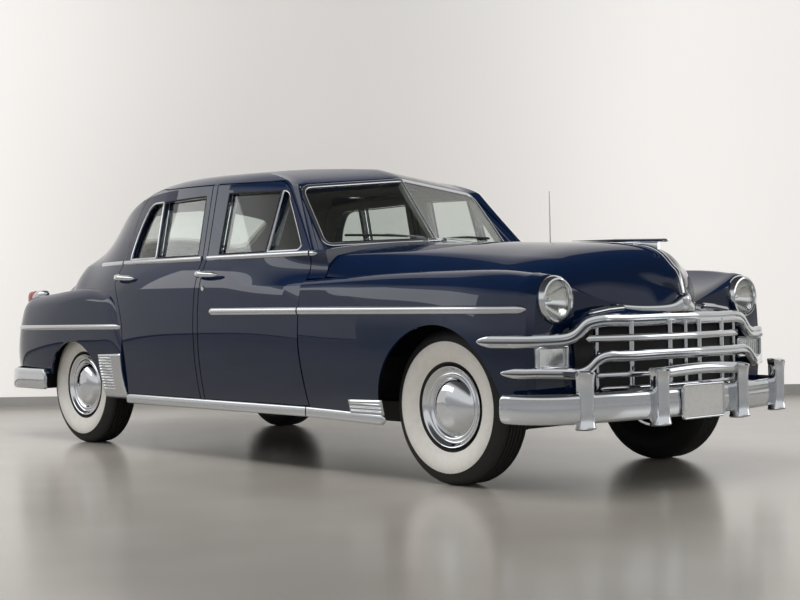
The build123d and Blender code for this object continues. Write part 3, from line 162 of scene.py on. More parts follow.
# Pressed lamp glass with upright flutes, drawn 16 mm apart so that they show.
lamp_glass, tree, shader = finish("fluted_lamp_glass", "#f6f8f8", Roughness=0.02, IOR=1.15,
                                  Transmission_Weight=1.0)
place = add(tree, "ShaderNodeTexCoord")
flutes = add(tree, "ShaderNodeTexWave", {"Vector": place.outputs["Object"]}, bands_direction="Y",
             Scale=2 * math.pi / 20 / (16 * MM), Distortion=0.0)
relief = add(tree, "ShaderNodeBump", {"Height": flutes.outputs["Fac"]}, Strength=0.25, Distance=0.004)
tree.links.new(relief.outputs["Normal"], shader.inputs["Normal"])
# Silvered steel reflector behind the lamp glass: a bright, slightly hazy bowl.
silvered = grained("silvered_reflector", 30, ("#f3f3f1",), (0.15, 0.26), Metallic=1.0, Roughness=0.2)
# Red moulded lens of the tail lamps, deep and glossy.
red_lens = grained("red_lens", 25, ("#a31212", "#8a0c0e", "#b81a18"), Roughness=0.08, Coat_Weight=0.6)
# Black natural rubber, matt, with a little dust in the grain.
rubber = grained("black_rubber", 7, ("#1a1a1b", "#141415", "#222223"), (0.55, 0.72), 0.12, Roughness=0.62)
# White side-wall rubber: warm, a touch uneven.
white_wall = grained("white_wall_rubber", 30, ("#efece6", "#ebe8e1", "#f3f1ec"), (0.42, 0.56), Roughness=0.5)
# Chassis black: brushed-on satin paint with road dust.
chassis_black = grained("chassis_black", 60, ("#1b1b1c", "#151516", "#29272a"), (0.45, 0.7), 0.05,
                        Roughness=0.55)
# Cast iron in engine enamel, grainy from the sand mould.
cast_iron = grained("enamelled_cast_iron", 5, ("#3b3f44", "#33373c", "#464a50"), (0.42, 0.62), 0.25,
                    Roughness=0.5, Metallic=0.2)
# Grey wool headlining and door cards: matt, with a soft nap.
headlining = grained("wool_headlining", 4, ("#b3aea5", "#a8a39a", "#bfbab1"), None, 0.2, Roughness=0.95,
                     Sheen_Weight=0.2)
# Satin enamel on the pressed steel dashboard.
dash_paint = grained("satin_dash_enamel", 70, ("#3a3834", "#35332f", "#423f3a"), (0.3, 0.42), Roughness=0.35)
# Hard ivory plastic of the steering wheel.
ivory = grained("ivory_plastic", 40, ("#c9c0aa", "#c2b8a2", "#d0c8b4"), Roughness=0.3)
# Enamelled blank licence plate: pale, slightly orange-peeled.
plate_white = grained("white_plate_enamel", 20, ("#e9e9e6", "#e3e3df", "#eeeeeb"), (0.3, 0.45),
                      Roughness=0.35)
SLOTS = {}
for slot, finishes in (("paint", (navy,)), ("chrome", (chrome, stainless, plate_white)), ("glass", (glass,)),
                       ("lamp", (lamp_glass, silvered)), ("red_lens", (red_lens,)),
                       ("tyre", (rubber, white_wall)), ("chassis", (chassis_black,)),
                       ("engine", (cast_iron,)), ("dash", (dash_paint, ivory)), ("cloth", (headlining,))):
    SLOTS.update({material.name: slot for material in finishes})
print("finishes", len(bpy.data.materials))

# %% [markdown]
# Surfaces. A body panel is a loft: a few cross-sections of lines and arcs, joined lengthwise by cubic
# curves. It could be modelled by hand from a subdivided cage, but the sections keep every size known. Each
# function below works on whole arrays. A closed form can be cut by another one with the Boolean modifier,
# which is how a stamped shell gets its doors, lids and window openings.

# %% Outline and loft helpers
STEPS = 10


def arc(a, m, b, n=STEPS):
    """n points from a to b on the circle through a, m and b: centre plus radius times cosine and sine."""
    (ax, ay), (mx, my), (bx, by) = a, m, b
    d = 2 * (ax * (my - by) + mx * (by - ay) + bx * (ay - my))
    if abs(d) < 1e-6:
        return np.linspace(a, b, n, endpoint=False)
    sa, sm, sb = ax * ax + ay * ay, mx * mx + my * my, bx * bx + by * by
    centre = np.array([sa * (my - by) + sm * (by - ay) + sb * (ay - my),
                       sa * (bx - mx) + sm * (ax - bx) + sb * (mx - ax)]) / d
    t0, tm, t1 = (math.atan2(p[1] - centre[1], p[0] - centre[0]) for p in (a, m, b))
    span = (t1 - t0) % (2 * math.pi)
    if (tm - t0) % (2 * math.pi) > span:
        span -= 2 * math.pi
    t = t0 + span * np.linspace(0, 1, n, endpoint=False)
    return centre + math.dist(a, centre) * np.stack([np.cos(t), np.sin(t)], axis=1)


def trace(start, *steps, n=STEPS):
    """A closed outline: a step is the next point of a straight run, or (middle, end) of an arc."""
    runs = []
    here = start
    for step in (*steps, start):
        if isinstance(step[0], tuple):
            runs.append(arc(here, step[0], step[1], n))
            here = step[1]
        else:
            runs.append(np.linspace(here, step, n, endpoint=False))
            here = step
    return np.concatenate(runs)


def unit(v):
    """Vectors scaled to length one."""
    return v / np.linalg.norm(v, axis=-1, keepdims=True)


def bulge(a, b, height):
    """The middle of an arc from a to b, raised to the left of the way a to b."""
    dy, dz = b[0] - a[0], b[1] - a[1]
    span = math.hypot(dy, dz)
    return ((a[0] + b[0]) / 2 - dz / span * height, (a[1] + b[1]) / 2 + dy / span * height)


def spline(knots, values, at):
    """Natural cubic curve through values at knots: second derivatives from one linear system."""
    h = np.diff(knots)
    n = len(knots)
    system = np.eye(n)
    rhs = np.zeros((n,) + values.shape[1:])
    for i in range(1, n - 1):
        system[i, i - 1:i + 2] = h[i - 1], 2 * (h[i - 1] + h[i]), h[i]
    slope = np.diff(values, axis=0) / h.reshape(-1, *[1] * (values.ndim - 1))
    rhs[1:-1] = 6 * np.diff(slope, axis=0)
    curve = np.linalg.solve(system, rhs.reshape(n, -1)).reshape(rhs.shape)
    k = np.clip(np.searchsorted(knots, at) - 1, 0, n - 2)
    shape = (-1, *[1] * (values.ndim - 1))
    hk, a, b = h[k].reshape(shape), (knots[k + 1] - at).reshape(shape), (at - knots[k]).reshape(shape)
    return ((curve[k] * a ** 3 + curve[k + 1] * b ** 3) / (6 * hk)
            + (values[k] / hk - curve[k] * hk / 6) * a + (values[k + 1] / hk - curve[k + 1] * hk / 6) * b)


def loft(places, sections, pitch=24):
    """Grid of points: sections (y, z) at places x, joined by cubic curves, sampled every pitch mm."""
    order = np.argsort(places)
    knots = np.asarray(places, float)[order]
    values = np.asarray(sections, float)[order]
    at = np.unique(np.concatenate([np.linspace(a, b, max(2, int((b - a) / pitch) + 1))
                                   for a, b in zip(knots[:-1], knots[1:])]))
    yz = spline(knots, values, at)
    return np.concatenate([np.broadcast_to(at[:, None, None], (*yz.shape[:2], 1)), yz], axis=2)


def closed_mesh(grid, wrap=False):
    """A closed mesh of a grid of rings: quads between rings, a flat cap at each end unless they wrap."""
    rings, count = grid.shape[:2]
    i = np.arange(rings * count).reshape(rings, count)
    nxt = np.roll(i, -1, axis=1)
    if wrap:
        ahead, ahead_nxt = np.roll(i, -1, axis=0), np.roll(nxt, -1, axis=0)
    else:
        i, ahead, nxt, ahead_nxt = i[:-1], i[1:], nxt[:-1], nxt[1:]
    quads = np.stack([i, nxt, ahead_nxt, ahead], axis=-1).reshape(-1, 4).tolist()
    last = (rings - 1) * count
    caps = [] if wrap else [list(range(count))[::-1], list(range(last, last + count))]
    mesh = bpy.data.meshes.new("form")
    mesh.from_pydata((grid.reshape(-1, 3) * MM).tolist(), [], quads + caps)
    mesh.update()
    return outward(mesh)


def outward(mesh):
    """Turns all faces round where the signed volume of the mesh is negative."""
    mesh.calc_loop_triangles()
    v = np.empty(len(mesh.vertices) * 3)
    mesh.vertices.foreach_get("co", v)
    t = np.empty(len(mesh.loop_triangles) * 3, np.int32)
    mesh.loop_triangles.foreach_get("vertices", t)
    a, b, c = v.reshape(-1, 3)[t.reshape(-1, 3)].transpose(1, 0, 2)
    if np.einsum("ij,ij->i", a, np.cross(b, c)).sum() < 0:
        mesh.flip_normals()
    return mesh


def prism(outline, low, high, axis="y"):
    """An outline carried from low to high: (x, z) along y, (x, y) along z or (y, z) along x."""
    ends = []
    for place in (low, high):
        across = np.full(len(outline), place)
        u, w = outline[:, 0], outline[:, 1]
        ends.append(np.stack({"y": (u, across, w), "z": (u, w, across), "x": (across, u, w)}[axis], axis=1))
    return closed_mesh(np.stack(ends))


def block(x0, x1, y0, y1, z0, z1):
    """A box as a prism, for cutting."""
    return prism(np.array([(x0, z0), (x1, z0), (x1, z1), (x0, z1)], float), y0, y1)


CUT, JOIN, KEEP = "DIFFERENCE", "UNION", "INTERSECT"


def carve(base, *steps):
    """The base mesh after each (operation, tool mesh) in turn."""
    collection = bpy.context.collection
    work = bpy.data.objects.new("work", base)
    collection.objects.link(work)
    tools = []
    for operation, tool in steps:
        other = bpy.data.objects.new("tool", tool)
        collection.objects.link(other)
        cut = work.modifiers.new("cut", "BOOLEAN")
        cut.operation, cut.object, cut.solver = operation, other, "MANIFOLD"
        tools.append(other)
    mesh = bpy.data.meshes.new_from_object(work.evaluated_get(bpy.context.evaluated_depsgraph_get()))
    for spare in (work, *tools):
        bpy.data.objects.remove(spare)
    return mesh


def mirror(mesh):
    """A copy on the other side of the car, with its faces turned back outwards."""
    twin = mesh.copy()
    twin.transform(Matrix.Diagonal((1, -1, 1, 1)))
    twin.flip_normals()
    return twin


def lined(mesh, material_faces):
    """Sets the second material on the faces that a test of centre and normal picks."""
    n = len(mesh.polygons)
    centre, normal = np.empty(n * 3), np.empty(n * 3)
    mesh.polygons.foreach_get("center", centre)
    mesh.polygons.foreach_get("normal", normal)
    picked = material_faces(centre.reshape(-1, 3) / MM, normal.reshape(-1, 3))
    mesh.polygons.foreach_set("material_index", picked.astype(np.int32))


def piece(name, mesh, finishes, body, *nodes, angle=32):
    """A finished piece: materials, smooth faces with sharp folds, its body and the nodes it stands for."""
    obj = bpy.data.objects.new(name, mesh)
    bpy.context.collection.objects.link(obj)
    for slot, material in enumerate(finishes if isinstance(finishes, (list, tuple)) else (finishes,)):
        if slot < len(mesh.materials):
            mesh.materials[slot] = material
        else:
            mesh.materials.append(material)
    mesh.shade_smooth()
    mesh.set_sharp_from_angle(angle=math.radians(angle))
    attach(obj, body)
    slot = SLOTS.get(mesh.materials[0].name, "cloth")
    if nodes:
        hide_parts(*nodes)
    return obj


def both_sides(name, mesh, finishes, body, *nodes, **more):
    """A right-hand piece and its mirror image; {} in a name or body is the side."""
    twin = mirror(mesh)
    for side, made in (("right", mesh), ("left", twin)):
        piece(name.format(side), made, finishes, body.format(side), *[n.format(side) for n in nodes], **more)


SIDES = (("right", -1), ("left", 1))
print("helpers ready")

# %% [markdown]
# The cabin: eight cross-sections from the cowl to the tail of the roof. Each one rises from the sill over
# the widest line to the shoulder, dips in under the belt, leans in along the windows and closes over the
# crown. The trunk is a second loft, joined to the first, because one set of sections can't give the step
# between the two.

# %% Cabin and trunk forms
FRONT_AXLE, REAR_AXLE, HALF, NOSE, TAIL = 1750.0, -1590.0, 935.0, 2630.0, -2630.0
FRONT_Y, REAR_Y, WHEEL_R = 744, 753, 365
SILL_Z, WIDE_Z, SHOULDER_Z, DIP_Z, BELT_Z = 275, 700, 950, 1035, 1115
CABIN = np.array([  # x sill wide shoulder dip belt belt_z rail rail_z top top_z crown_z
    (900, 67, 7, 40, 122, 106, 1115, 245, 1440, 375, 1520, 1560),
    (450, 63, 3, 23, 60, 83, 1115, 225, 1500, 350, 1575, 1612),
    (-200, 60, 0, 15, 38, 73, 1115, 155, 1530, 295, 1602, 1645),
    (-800, 63, 5, 20, 45, 83, 1115, 170, 1522, 315, 1590, 1632),
    (-1250, 75, 30, 50, 80, 120, 1115, 250, 1430, 395, 1505, 1560),
    (-1600, 115, 85, 110, 145, 195, 1115, 350, 1270, 505, 1365, 1425),
    (-1850, 155, 145, 175, 215, 285, 1100, 455, 1160, 595, 1215, 1245),
    (-2000, 200, 190, 230, 290, 380, 1000, 555, 1040, 680, 1072, 1085)], float)
TRUNK = np.array([  # x foot foot_z side side_z edge edge_z crown_z
    (-1050, 160, 330, 130, 700, 180, 1000, 1100), (-1600, 165, 330, 145, 700, 195, 1010, 1140),
    (-1850, 195, 350, 170, 700, 235, 1010, 1160), (-2100, 245, 400, 220, 700, 295, 960, 1100),
    (-2300, 315, 430, 295, 680, 375, 860, 975), (-2430, 395, 450, 385, 620, 465, 720, 815),
    (-2500, 485, 460, 480, 540, 535, 590, 640)], float)


def cabin_section(row, side, roof, drop):
    """One cabin section moved in by side at the walls and by roof at the top: (y, z) points all round."""
    x, sill, wide, shoulder, dip, belt, belt_z, rail, rail_z, top, top_z, crown_z = row
    low = belt_z - BELT_Z
    halves = []
    for sign in (1, -1):
        at = lambda inset, z: (-sign * (HALF - inset - side), z)
        rail_p, top_p = at(rail, rail_z - roof / 2), at(top, top_z - roof)
        curve = bulge(rail_p, top_p, sign * 12)
        halves.append((at(sill, SILL_Z - drop), at(wide, WIDE_Z), at(shoulder, low + SHOULDER_Z),
                       at(dip, low + DIP_Z), at(belt, belt_z), rail_p, curve, top_p))
    (s, w, h, d, b, r, m, t), (s2, w2, h2, d2, b2, r2, m2, t2) = halves
    crown = (0.0, crown_z - roof)
    return trace(s, (w, h), (d, b), r, (m, t), (crown, t2), (m2, r2), b2, (d2, h2), (w2, s2), n=14)


def slab(x0, x1, z0, z1):
    """A box across the whole car, for cutting."""
    return block(x0, x1, -HALF - 50, HALF + 50, z0, z1)


def cabin(side, roof, drop):
    """Loft of the cabin sections."""
    return loft(CABIN[:, 0], [cabin_section(row, side, roof, drop) for row in CABIN])


def trunk(wall, drop, forward):
    """Loft of the trunk sections, moved in by wall."""
    sections = []
    for x, foot, foot_z, side, side_z, edge, edge_z, crown_z in TRUNK:
        f, s, e = HALF - foot - wall, HALF - side - wall, HALF - edge - wall
        top = edge_z - wall / 2
        sections.append(trace((-f, foot_z - drop), ((-s, side_z), (-e, top)),
                              ((0.0, crown_z - wall), (e, top)),
                              ((s, side_z), (f, foot_z - drop)), n=30))
    return loft(TRUNK[:, 0] + forward, sections)


cabin_grid = cabin(0, 0, 0)
outer = carve(closed_mesh(cabin_grid), (JOIN, closed_mesh(trunk(0, 0, 0))))
hollow = carve(closed_mesh(cabin(64, 40, 120)), (JOIN, closed_mesh(trunk(30, 60, 34))))
print("outer form", len(outer.polygons), "faces")

# %% [markdown]
# Doors and windows are drawn in side view and cut straight through the form, as a press tool would. A pane's
# outline can be drawn in or out by one number, so the glass, its opening and its frame all come from the
# same lines.

# %% Door and window outlines, side view
DOOR_FOOT, WINDOW_FOOT, DIVIDER_W, GAP = 335, 1142, 24, 7
FDF, FDR, RDF, RDR = 740, -152, -203, -970


def front_door_outline(g=0.0):
    """Front door, grown by g: raked foot, raked windshield pillar, rounded top corner."""
    x, rear, rake = FDF, FDR - g, g * 0.35
    return trace((x + 34 + g, DOOR_FOOT - g), (x + g, 640), (x + g, 1130 + rake),
                 (x - 310 + g * 0.75, 1478 + g * 0.7),
                 ((x - 362, 1512 + g), (x - 440, 1523 + g)), (rear, 1535 + g), (rear, DOOR_FOOT - g))


def rear_door_outline(g=0.0):
    """Rear door, grown by g: rounded top rear corner, rear edge along the fender's front."""
    x, front = RDR, RDF + g
    return trace((front, DOOR_FOOT - g), (front, 1535 + g), (x + 270, 1541 + g),
                 ((x + 80 - g * 0.3, 1520 + g), (x - 30 - g * 0.9, 1430 + g * 0.5)),
                 ((x - 78 - g, 1290), (x - 104 - g, 1120)), (x - 134 - g, 1000),
                 ((x - 56 - g, 880), (x - g, 740)), (x - g, DOOR_FOOT - g))


def front_windows(g=0.0):
    """Drop glass and vent pane of the front door, drawn in by g."""
    rear, div, nose = FDR + 107 + g, FDF - 360, FDF - 92 - g
    a, b = div - DIVIDER_W / 2 - g, div + DIVIDER_W / 2 + g
    return (trace((rear, WINDOW_FOOT + g), (rear, 1478 - g), (a, 1466 - g), (a, WINDOW_FOOT + g)),
            trace((b, WINDOW_FOOT + g), (b, 1464 - g), ((nose - 215, 1452 - g), (nose - 190, 1412 - g)),
                  (nose, 1172), ((nose - 2, 1152 + g), (nose - 22, WINDOW_FOOT + g))))


def rear_windows(g=0.0):
    """Drop glass and fixed pane of the rear door, drawn in by g."""
    front, div, tail = RDF - 48 - g, RDR + 280, RDR - 26 + g
    a, b = div + DIVIDER_W / 2 + g, div - DIVIDER_W / 2 - g
    return (trace((front, WINDOW_FOOT + g), (a, WINDOW_FOOT + g), (a, 1468 - g), (front, 1474 - g)),
            trace((b, WINDOW_FOOT + g), (tail, WINDOW_FOOT + g), ((tail + 30, 1280), (tail + 118, 1430 - g)),
                  ((tail + 170, 1460 - g), (tail + 215, 1466 - g)), (b, 1467 - g)))


SHELL_CUT = (CUT, hollow)
WIDE = HALF + 60


PANE_SWEEP, PANE_RAKE = 0.21, 0.80
PANE_FOOT, PANE_HEAD, PANE_WIDE, PANE_NARROW = 1180, 1472, 672, 634


def pane_x(y, z):
    """Windshield plane: x falls with half-width y and with height z."""
    return 790 - PANE_SWEEP * np.abs(y) - PANE_RAKE * (z - 1203)


def pane_edge(z):
    """Half-width of the visible windshield glass at height z."""
    return PANE_WIDE + (PANE_NARROW - PANE_WIDE) * (z - PANE_FOOT) / (PANE_HEAD - PANE_FOOT)


def above_cowl(lift):
    """Space over the crowned cowl."""
    low, high = 1110 + lift, 1186 + lift
    space = trace((-WIDE, low), ((0.0, high), (WIDE, low)), (WIDE, 1900), (-WIDE, 1900), n=24)
    return prism(space, 0, 1200, "x")


def glass_prism(low, high, behind, ahead):
    """Space between the windshield's face moved back and a plane ahead, or the face itself.

    Over the glass the face leans back by over squared / 45, so it curves into the roof."""
    rings = []
    for z in np.concatenate([[low], np.arange(1480.0, 1640, 10), [high]]):
        fold = pane_edge(z) + 17
        y = np.concatenate([[-1000], np.linspace(-fold, fold, 29), [1000]])
        half = np.abs(y)
        over = np.clip(z - 1546 + 57 * np.minimum(half, 648) / 648, 0, 120)
        x = pane_x(np.minimum(half, fold), z) + 0.35 * np.maximum(half - fold, 0) - over ** 2 / 45
        front = np.full(len(y), float(ahead)) if ahead else x
        plan = np.concatenate([np.stack([x - behind, y], 1), np.stack([front, y], 1)[::-1]])
        rings.append(np.column_stack([plan, np.full(len(plan), z)]))
    return closed_mesh(np.stack(rings))


def pane_form(side, edge, lift, thick):
    """One flat windshield pane, widened by edge, lifted off the pillar face, thick along its normal."""
    y = np.array([8, PANE_WIDE + edge, PANE_NARROW + edge, 8])
    z = np.array([1209 - edge, PANE_FOOT - edge, PANE_HEAD + edge, 1530 + edge])
    flat = np.stack([pane_x(y, z), side * y, z], axis=1)
    normal = unit(np.array([1, side * PANE_SWEEP, PANE_RAKE]))
    return closed_mesh(np.stack([flat + normal * lift, flat + normal * (lift + thick)]))


ahead_of_glass = carve(above_cowl(0), (KEEP, glass_prism(1000, 1800, 0, 1200)))
shell = carve(outer, SHELL_CUT, (CUT, ahead_of_glass))
print("shell", len(shell.polygons))

# %% [markdown]
# Doors: the part of the shell inside the door's outline, with the windows cut out. The inner face is a grey
# wool card. The same mesh mirrored makes the left-hand door, which keeps the two sides alike.

# %% Doors
DOORS = (("front", front_door_outline, front_windows), ("rear", rear_door_outline, rear_windows))
OPENINGS = {end: prism(outline(GAP), -WIDE, WIDE) for end, outline, _ in DOORS}
for end, outline, windows in DOORS:
    steps = [(KEEP, prism(outline(), -WIDE, -200))]
    steps += [(CUT, prism(w, -WIDE - 20, -180)) for w in windows()]
    door = carve(shell, *steps)
    lined(door, lambda c, n: n[:, 1] > 0.5)
    name = f"{end}_door_{{}}"
    both_sides(f"{name}_panel", door, (navy, headlining), name, name)
    print(end, "door", len(door.polygons), "faces")

# %% [markdown]
# Rear fenders are pontoons bolted to the body, so they are forms of their own, hollow and open to the wheel.
# Each is a loft minus the same loft drawn in by the sheet's thickness, which gives an even wall that a
# Solidify modifier would fold at the tight front end.

# %% Rear fenders
REAR_FENDER = np.array([  # x foot wide shoulder crest top_z
    (-977.4, 62, 6, 18, 40, 785), (-1050, 60, 3, 16, 50, 900), (-1200, 58, 0, 14, 58, 962),
                        (-1440, 58, -2, 14, 62, 980),
    (-1840, 60, -2, 18, 70, 962), (-2150, 72, 12, 38, 95, 945), (-2320, 100, 42, 72, 120, 912),
    (-2420, 140, 85, 110, 145, 840)], float)
FENDER_PLANE = HALF - 217


def rear_fender(wall, drop, reach):
    """Right rear fender, moved in by wall: foot, widest arc, rounded crest, level top to the body."""
    sections = []
    for x, foot, wide, shoulder, crest, top_z in REAR_FENDER:
        wide_z = min(600, (300 + top_z) / 2)
        f = (-(HALF - foot - wall), 300.0 - drop)
        w = (-(HALF - wide - wall), wide_z)
        s = (-(HALF - shoulder - wall), top_z - 85 - wall / 2)
        c = (-(HALF - crest - wall / 2), top_z - wall - 12)
        sections.append(trace(f, (w, s), (bulge(s, c, 9), c), (-FENDER_PLANE + reach, top_z - wall),
                              (-FENDER_PLANE + reach, 300.0 - drop), n=16))
    return loft(REAR_FENDER[:, 0], sections)


def wheel_arch(x, z, radius, y0, y1):
    """A round-topped opening that is open below, carried across."""
    t = np.linspace(0, math.pi, 60)
    outline = np.concatenate([np.stack([x + radius * np.cos(t), z + radius * np.sin(t)], 1),
                              [(x - radius, -10), (x + radius, -10)]])
    return prism(outline, y0, y1)


REAR_ARCH = (REAR_AXLE + 35, 330, 315)
rear_grid = rear_fender(0, 0, 0)
inner = carve(closed_mesh(rear_fender(16, 40, 40)), (KEEP, block(-2404, -993, -990, 0, 0, 1200)))
fender = carve(closed_mesh(rear_grid), (CUT, inner), (CUT, wheel_arch(*REAR_ARCH, -WIDE, -FENDER_PLANE + 1)),
               (CUT, block(-2590, REAR_ARCH[0] - 250, -995, 0, 0, 430)),
               (CUT, OPENINGS["rear"]))
both_sides("rear_fender_{}_panel", fender, navy, "body", "rear_fenders")
room = closed_mesh(rear_fender(-0.4, 140, 0.4))
both_rooms = carve(room, (JOIN, mirror(room)))
print("rear fender", len(fender.polygons))

# %% [markdown]
# The rest of the shell: roof, sills, rear body, trunk lid and cowl. On the real car they are separate
# pressings welded along hidden seams, so each one is the same shell kept inside its own block of space.

# %% Shell pieces: roof, sills, rear body, trunk lid and cowl
WELL_IN = REAR_Y - 103 - 40
axle_room = block(-1665, -1515, -WELL_IN - 1, -WELL_IN + 20, 0, 520)
well = carve(wheel_arch(REAR_AXLE, WHEEL_R, 413, -1035, -WELL_IN), (JOIN, axle_room))
wells = carve(well, (JOIN, mirror(well)))
fixed = carve(shell, (CUT, OPENINGS["front"]), (CUT, OPENINGS["rear"]),
              (CUT, both_rooms), (CUT, wells))
BACK_TILT = math.radians(29)


def rounded_rectangle(width, height, radius, n=8):
    """Outline of a rounded rectangle about the origin."""
    t = np.radians(np.linspace(0, 90, n))
    w, h = width / 2 - radius, height / 2 - radius
    return np.concatenate([np.stack([cx + radius * np.cos(t + a), cy + radius * np.sin(t + a)], 1) for cx, cy,
                           a in
                           ((w, h, 0), (-w, h, math.pi / 2), (-w, -h, math.pi), (w, -h, 1.5 * math.pi))])


def back_window(shrink, depth):
    """The rear window's rounded outline on a tilted plane, carried through the roof."""
    w, h, r = 500 - shrink, 200 - shrink, 90 - shrink
    flat = rounded_rectangle(2 * w, 2 * h, r, 14)
    normal = np.array([-math.sin(BACK_TILT), 0, math.cos(BACK_TILT)])
    along = np.array([-math.cos(BACK_TILT), 0, -math.sin(BACK_TILT)])
    ring = np.array([REAR_AXLE + 5, 0, 1420]) + flat[:, :1] * np.array([0, 1, 0]) + flat[:, 1:] * along
    return closed_mesh(np.stack([ring - normal * depth, ring + normal * depth]))


door_zone = carve(OPENINGS["front"], (CUT, closed_mesh(cabin(70, 70, 120))))
glass_frame = glass_prism(1090, 1640, 45, 0)
glass_frame = carve(glass_frame, *[(CUT, pane_form(s, 0, -150, 300)) for _, s in SIDES],
                    (KEEP, outer), (KEEP, above_cowl(0.4)), (CUT, door_zone))
roof = carve(fixed, (KEEP, slab(-1790, 1750, BELT_Z, 1800)), (CUT, slab(746.6, 1750, 1060, 1190)),
             (JOIN, glass_frame), (CUT, back_window(0, 400)))
lined(roof, lambda c, n: (n * (np.array([-300, 0, 1150]) - c)).sum(1) > 0)
piece("roof_panel", roof, (navy, headlining), "body", "roof")
sills = carve(fixed, (KEEP, slab(-977, 747, 0, BELT_Z - 0.4)),
              *[(JOIN, block(-977, 747, s * 740, s * 825, SILL_Z, 335)) for _, s in SIDES])
piece("sill_panels", sills, navy, "body", "sills")
LID_FRONT, LID_HALF, LID_FOOT = -1950, 505, 600
rear_zone = carve(slab(TAIL, -977.4, 0, BELT_Z - 0.4), (JOIN, slab(TAIL, -1790.4, 0, 1800)))
rear = carve(fixed, (KEEP, rear_zone),
             (CUT, block(TAIL, LID_FRONT + 7, -LID_HALF - 7, LID_HALF + 7, LID_FOOT - 7, 1800)))
liner = closed_mesh(rear_fender(-14, 0, 14))
liner = carve(liner, (JOIN, mirror(liner)), (KEEP, outer),
              (KEEP, block(-2420, -977.4, -HALF, HALF, 300, 1100)))
tub = carve(wheel_arch(REAR_AXLE, WHEEL_R, 425, -FENDER_PLANE + 6, -WELL_IN + 12),
            (KEEP, block(-2190, -990, -HALF, 0, 330, 1000)))
liner = carve(liner, (JOIN, tub), (JOIN, mirror(tub)), (CUT, both_rooms), (CUT, wells),
              (CUT, OPENINGS["rear"]))
rear = carve(rear, (JOIN, liner))
piece("rear_body_panel", rear, navy, "body", "rear_body")
lid = carve(shell, (KEEP, block(TAIL, LID_FRONT, -LID_HALF, LID_HALF, LID_FOOT, 1800)))
piece("trunk_lid_panel", lid, navy, "trunk_lid", "trunk_lid")
cowl_low = carve(closed_mesh(cabin(16.4, 16, 0)), SHELL_CUT, (KEEP, slab(747, 863, 0, 987)),
                 (CUT, OPENINGS["front"]))
cowl_high = carve(fixed, (KEEP, slab(747, 863, 987, 1800)))
crown = trace((-WIDE, 1110), ((0.0, 1186), (WIDE, 1110)), (WIDE, 1094), ((0.0, 1170), (-WIDE, 1094)), n=24)
wall = trace((-WIDE, 985.4), (-WIDE, 1100), ((0.0, 1176), (WIDE, 1100)), (WIDE, 985.4), n=24)
inside = carve(block(540, 747, -935, 935, 1000, 1200), (KEEP, closed_mesh(cabin(70, 70, 120))),
               (JOIN, block(747, 863, -935, 935, 900, 1200)))
cowl_top = carve(prism(crown, 580, 863, "x"), (JOIN, prism(wall, 847, 863, "x")), (KEEP, outer),
                 (KEEP, inside))
cowl = carve(cowl_top, (JOIN, cowl_high), (JOIN, cowl_low))
piece("cowl_panel", cowl, navy, "body", "cowl")
print("roof", len(roof.polygons), "rear body", len(rear.polygons), "lid", len(lid.polygons))

# %% [markdown]
# Hood and front fenders. The hood is a long shell with a rounded nose; each fender runs from the door to the
# headlamp, with a soft crest and a valley beside the hood. Both are lofts like the cabin, because their
# highlights have to run on without a break from one panel to the next.

# %% Hood and front fenders
HOOD = np.array([  # x edge edge_z shoulder shoulder_z crown_z
    (870, 104, 994, 190, 1104, 1180), (1300, 275, 968, 425, 1105, 1167), (1800, 350, 938, 505, 1075, 1145),
    (2150, 430, 904, 565, 1040, 1124), (2250, 542, 868, 640, 1010, 1110), (2310, 631, 828, 700, 981, 1094),
    (2380, 730, 808, 790, 942, 1051), (2430, 795, 803, 860, 910, 1001), (2462, 840, 802, 900, 888, 954),
    (2476, 905, 806, 922, 860, 902)], float)


def hood_form(wall, drop):
    """Hood sections moved in by wall: two rounded flanks and the crown; the nose follows the same curves."""
    sections = []
    for x, edge, edge_z, shoulder, shoulder_z, crown_z in HOOD:
        e, s = HALF - edge - wall, HALF - shoulder - wall * 0.7
        ez, sz = edge_z - drop, shoulder_z - wall * 0.7
        swell = math.hypot(e - s, ez - sz) * 0.1
        sections.append(trace((-e, ez), (bulge((-e, ez), (-s, sz), swell), (-s, sz)),
                              ((0.0, crown_z - wall), (s, sz)),
                              (bulge((s, sz), (e, ez), swell), (e, ez)), n=24))
    places = HOOD[:, 0] - np.where(np.arange(len(HOOD)) == 0, np.sign(wall), wall)
    return loft(places, sections, 12)


hood = carve(closed_mesh(hood_form(0, 0)), (CUT, closed_mesh(hood_form(12, 60))))
piece("hood_panel", hood, navy, "hood", "hood")
FENDER = np.array([  # x foot wide shoulder shoulder_z crest crest_z valley valley_z
    (747, 67, 7, 22, 915, 62, 976, 100, 985), (870, 66, 6, 24, 920, 75, 983, 118, 984),
                   (1300, 60, 3, 28, 930, 125, 1000, 289, 960),
    (1800, 60, 5, 35, 925, 180, 1000, 364, 930), (2150, 70, 20, 52, 905, 212, 986, 444, 898),
    (2250, 92, 44, 72, 894, 222, 978, 556, 868), (2288, 106, 60, 86, 884, 230, 970, 614, 848),
    (2310, 136, 94, 112, 872, 246, 946, 650, 830)], float)


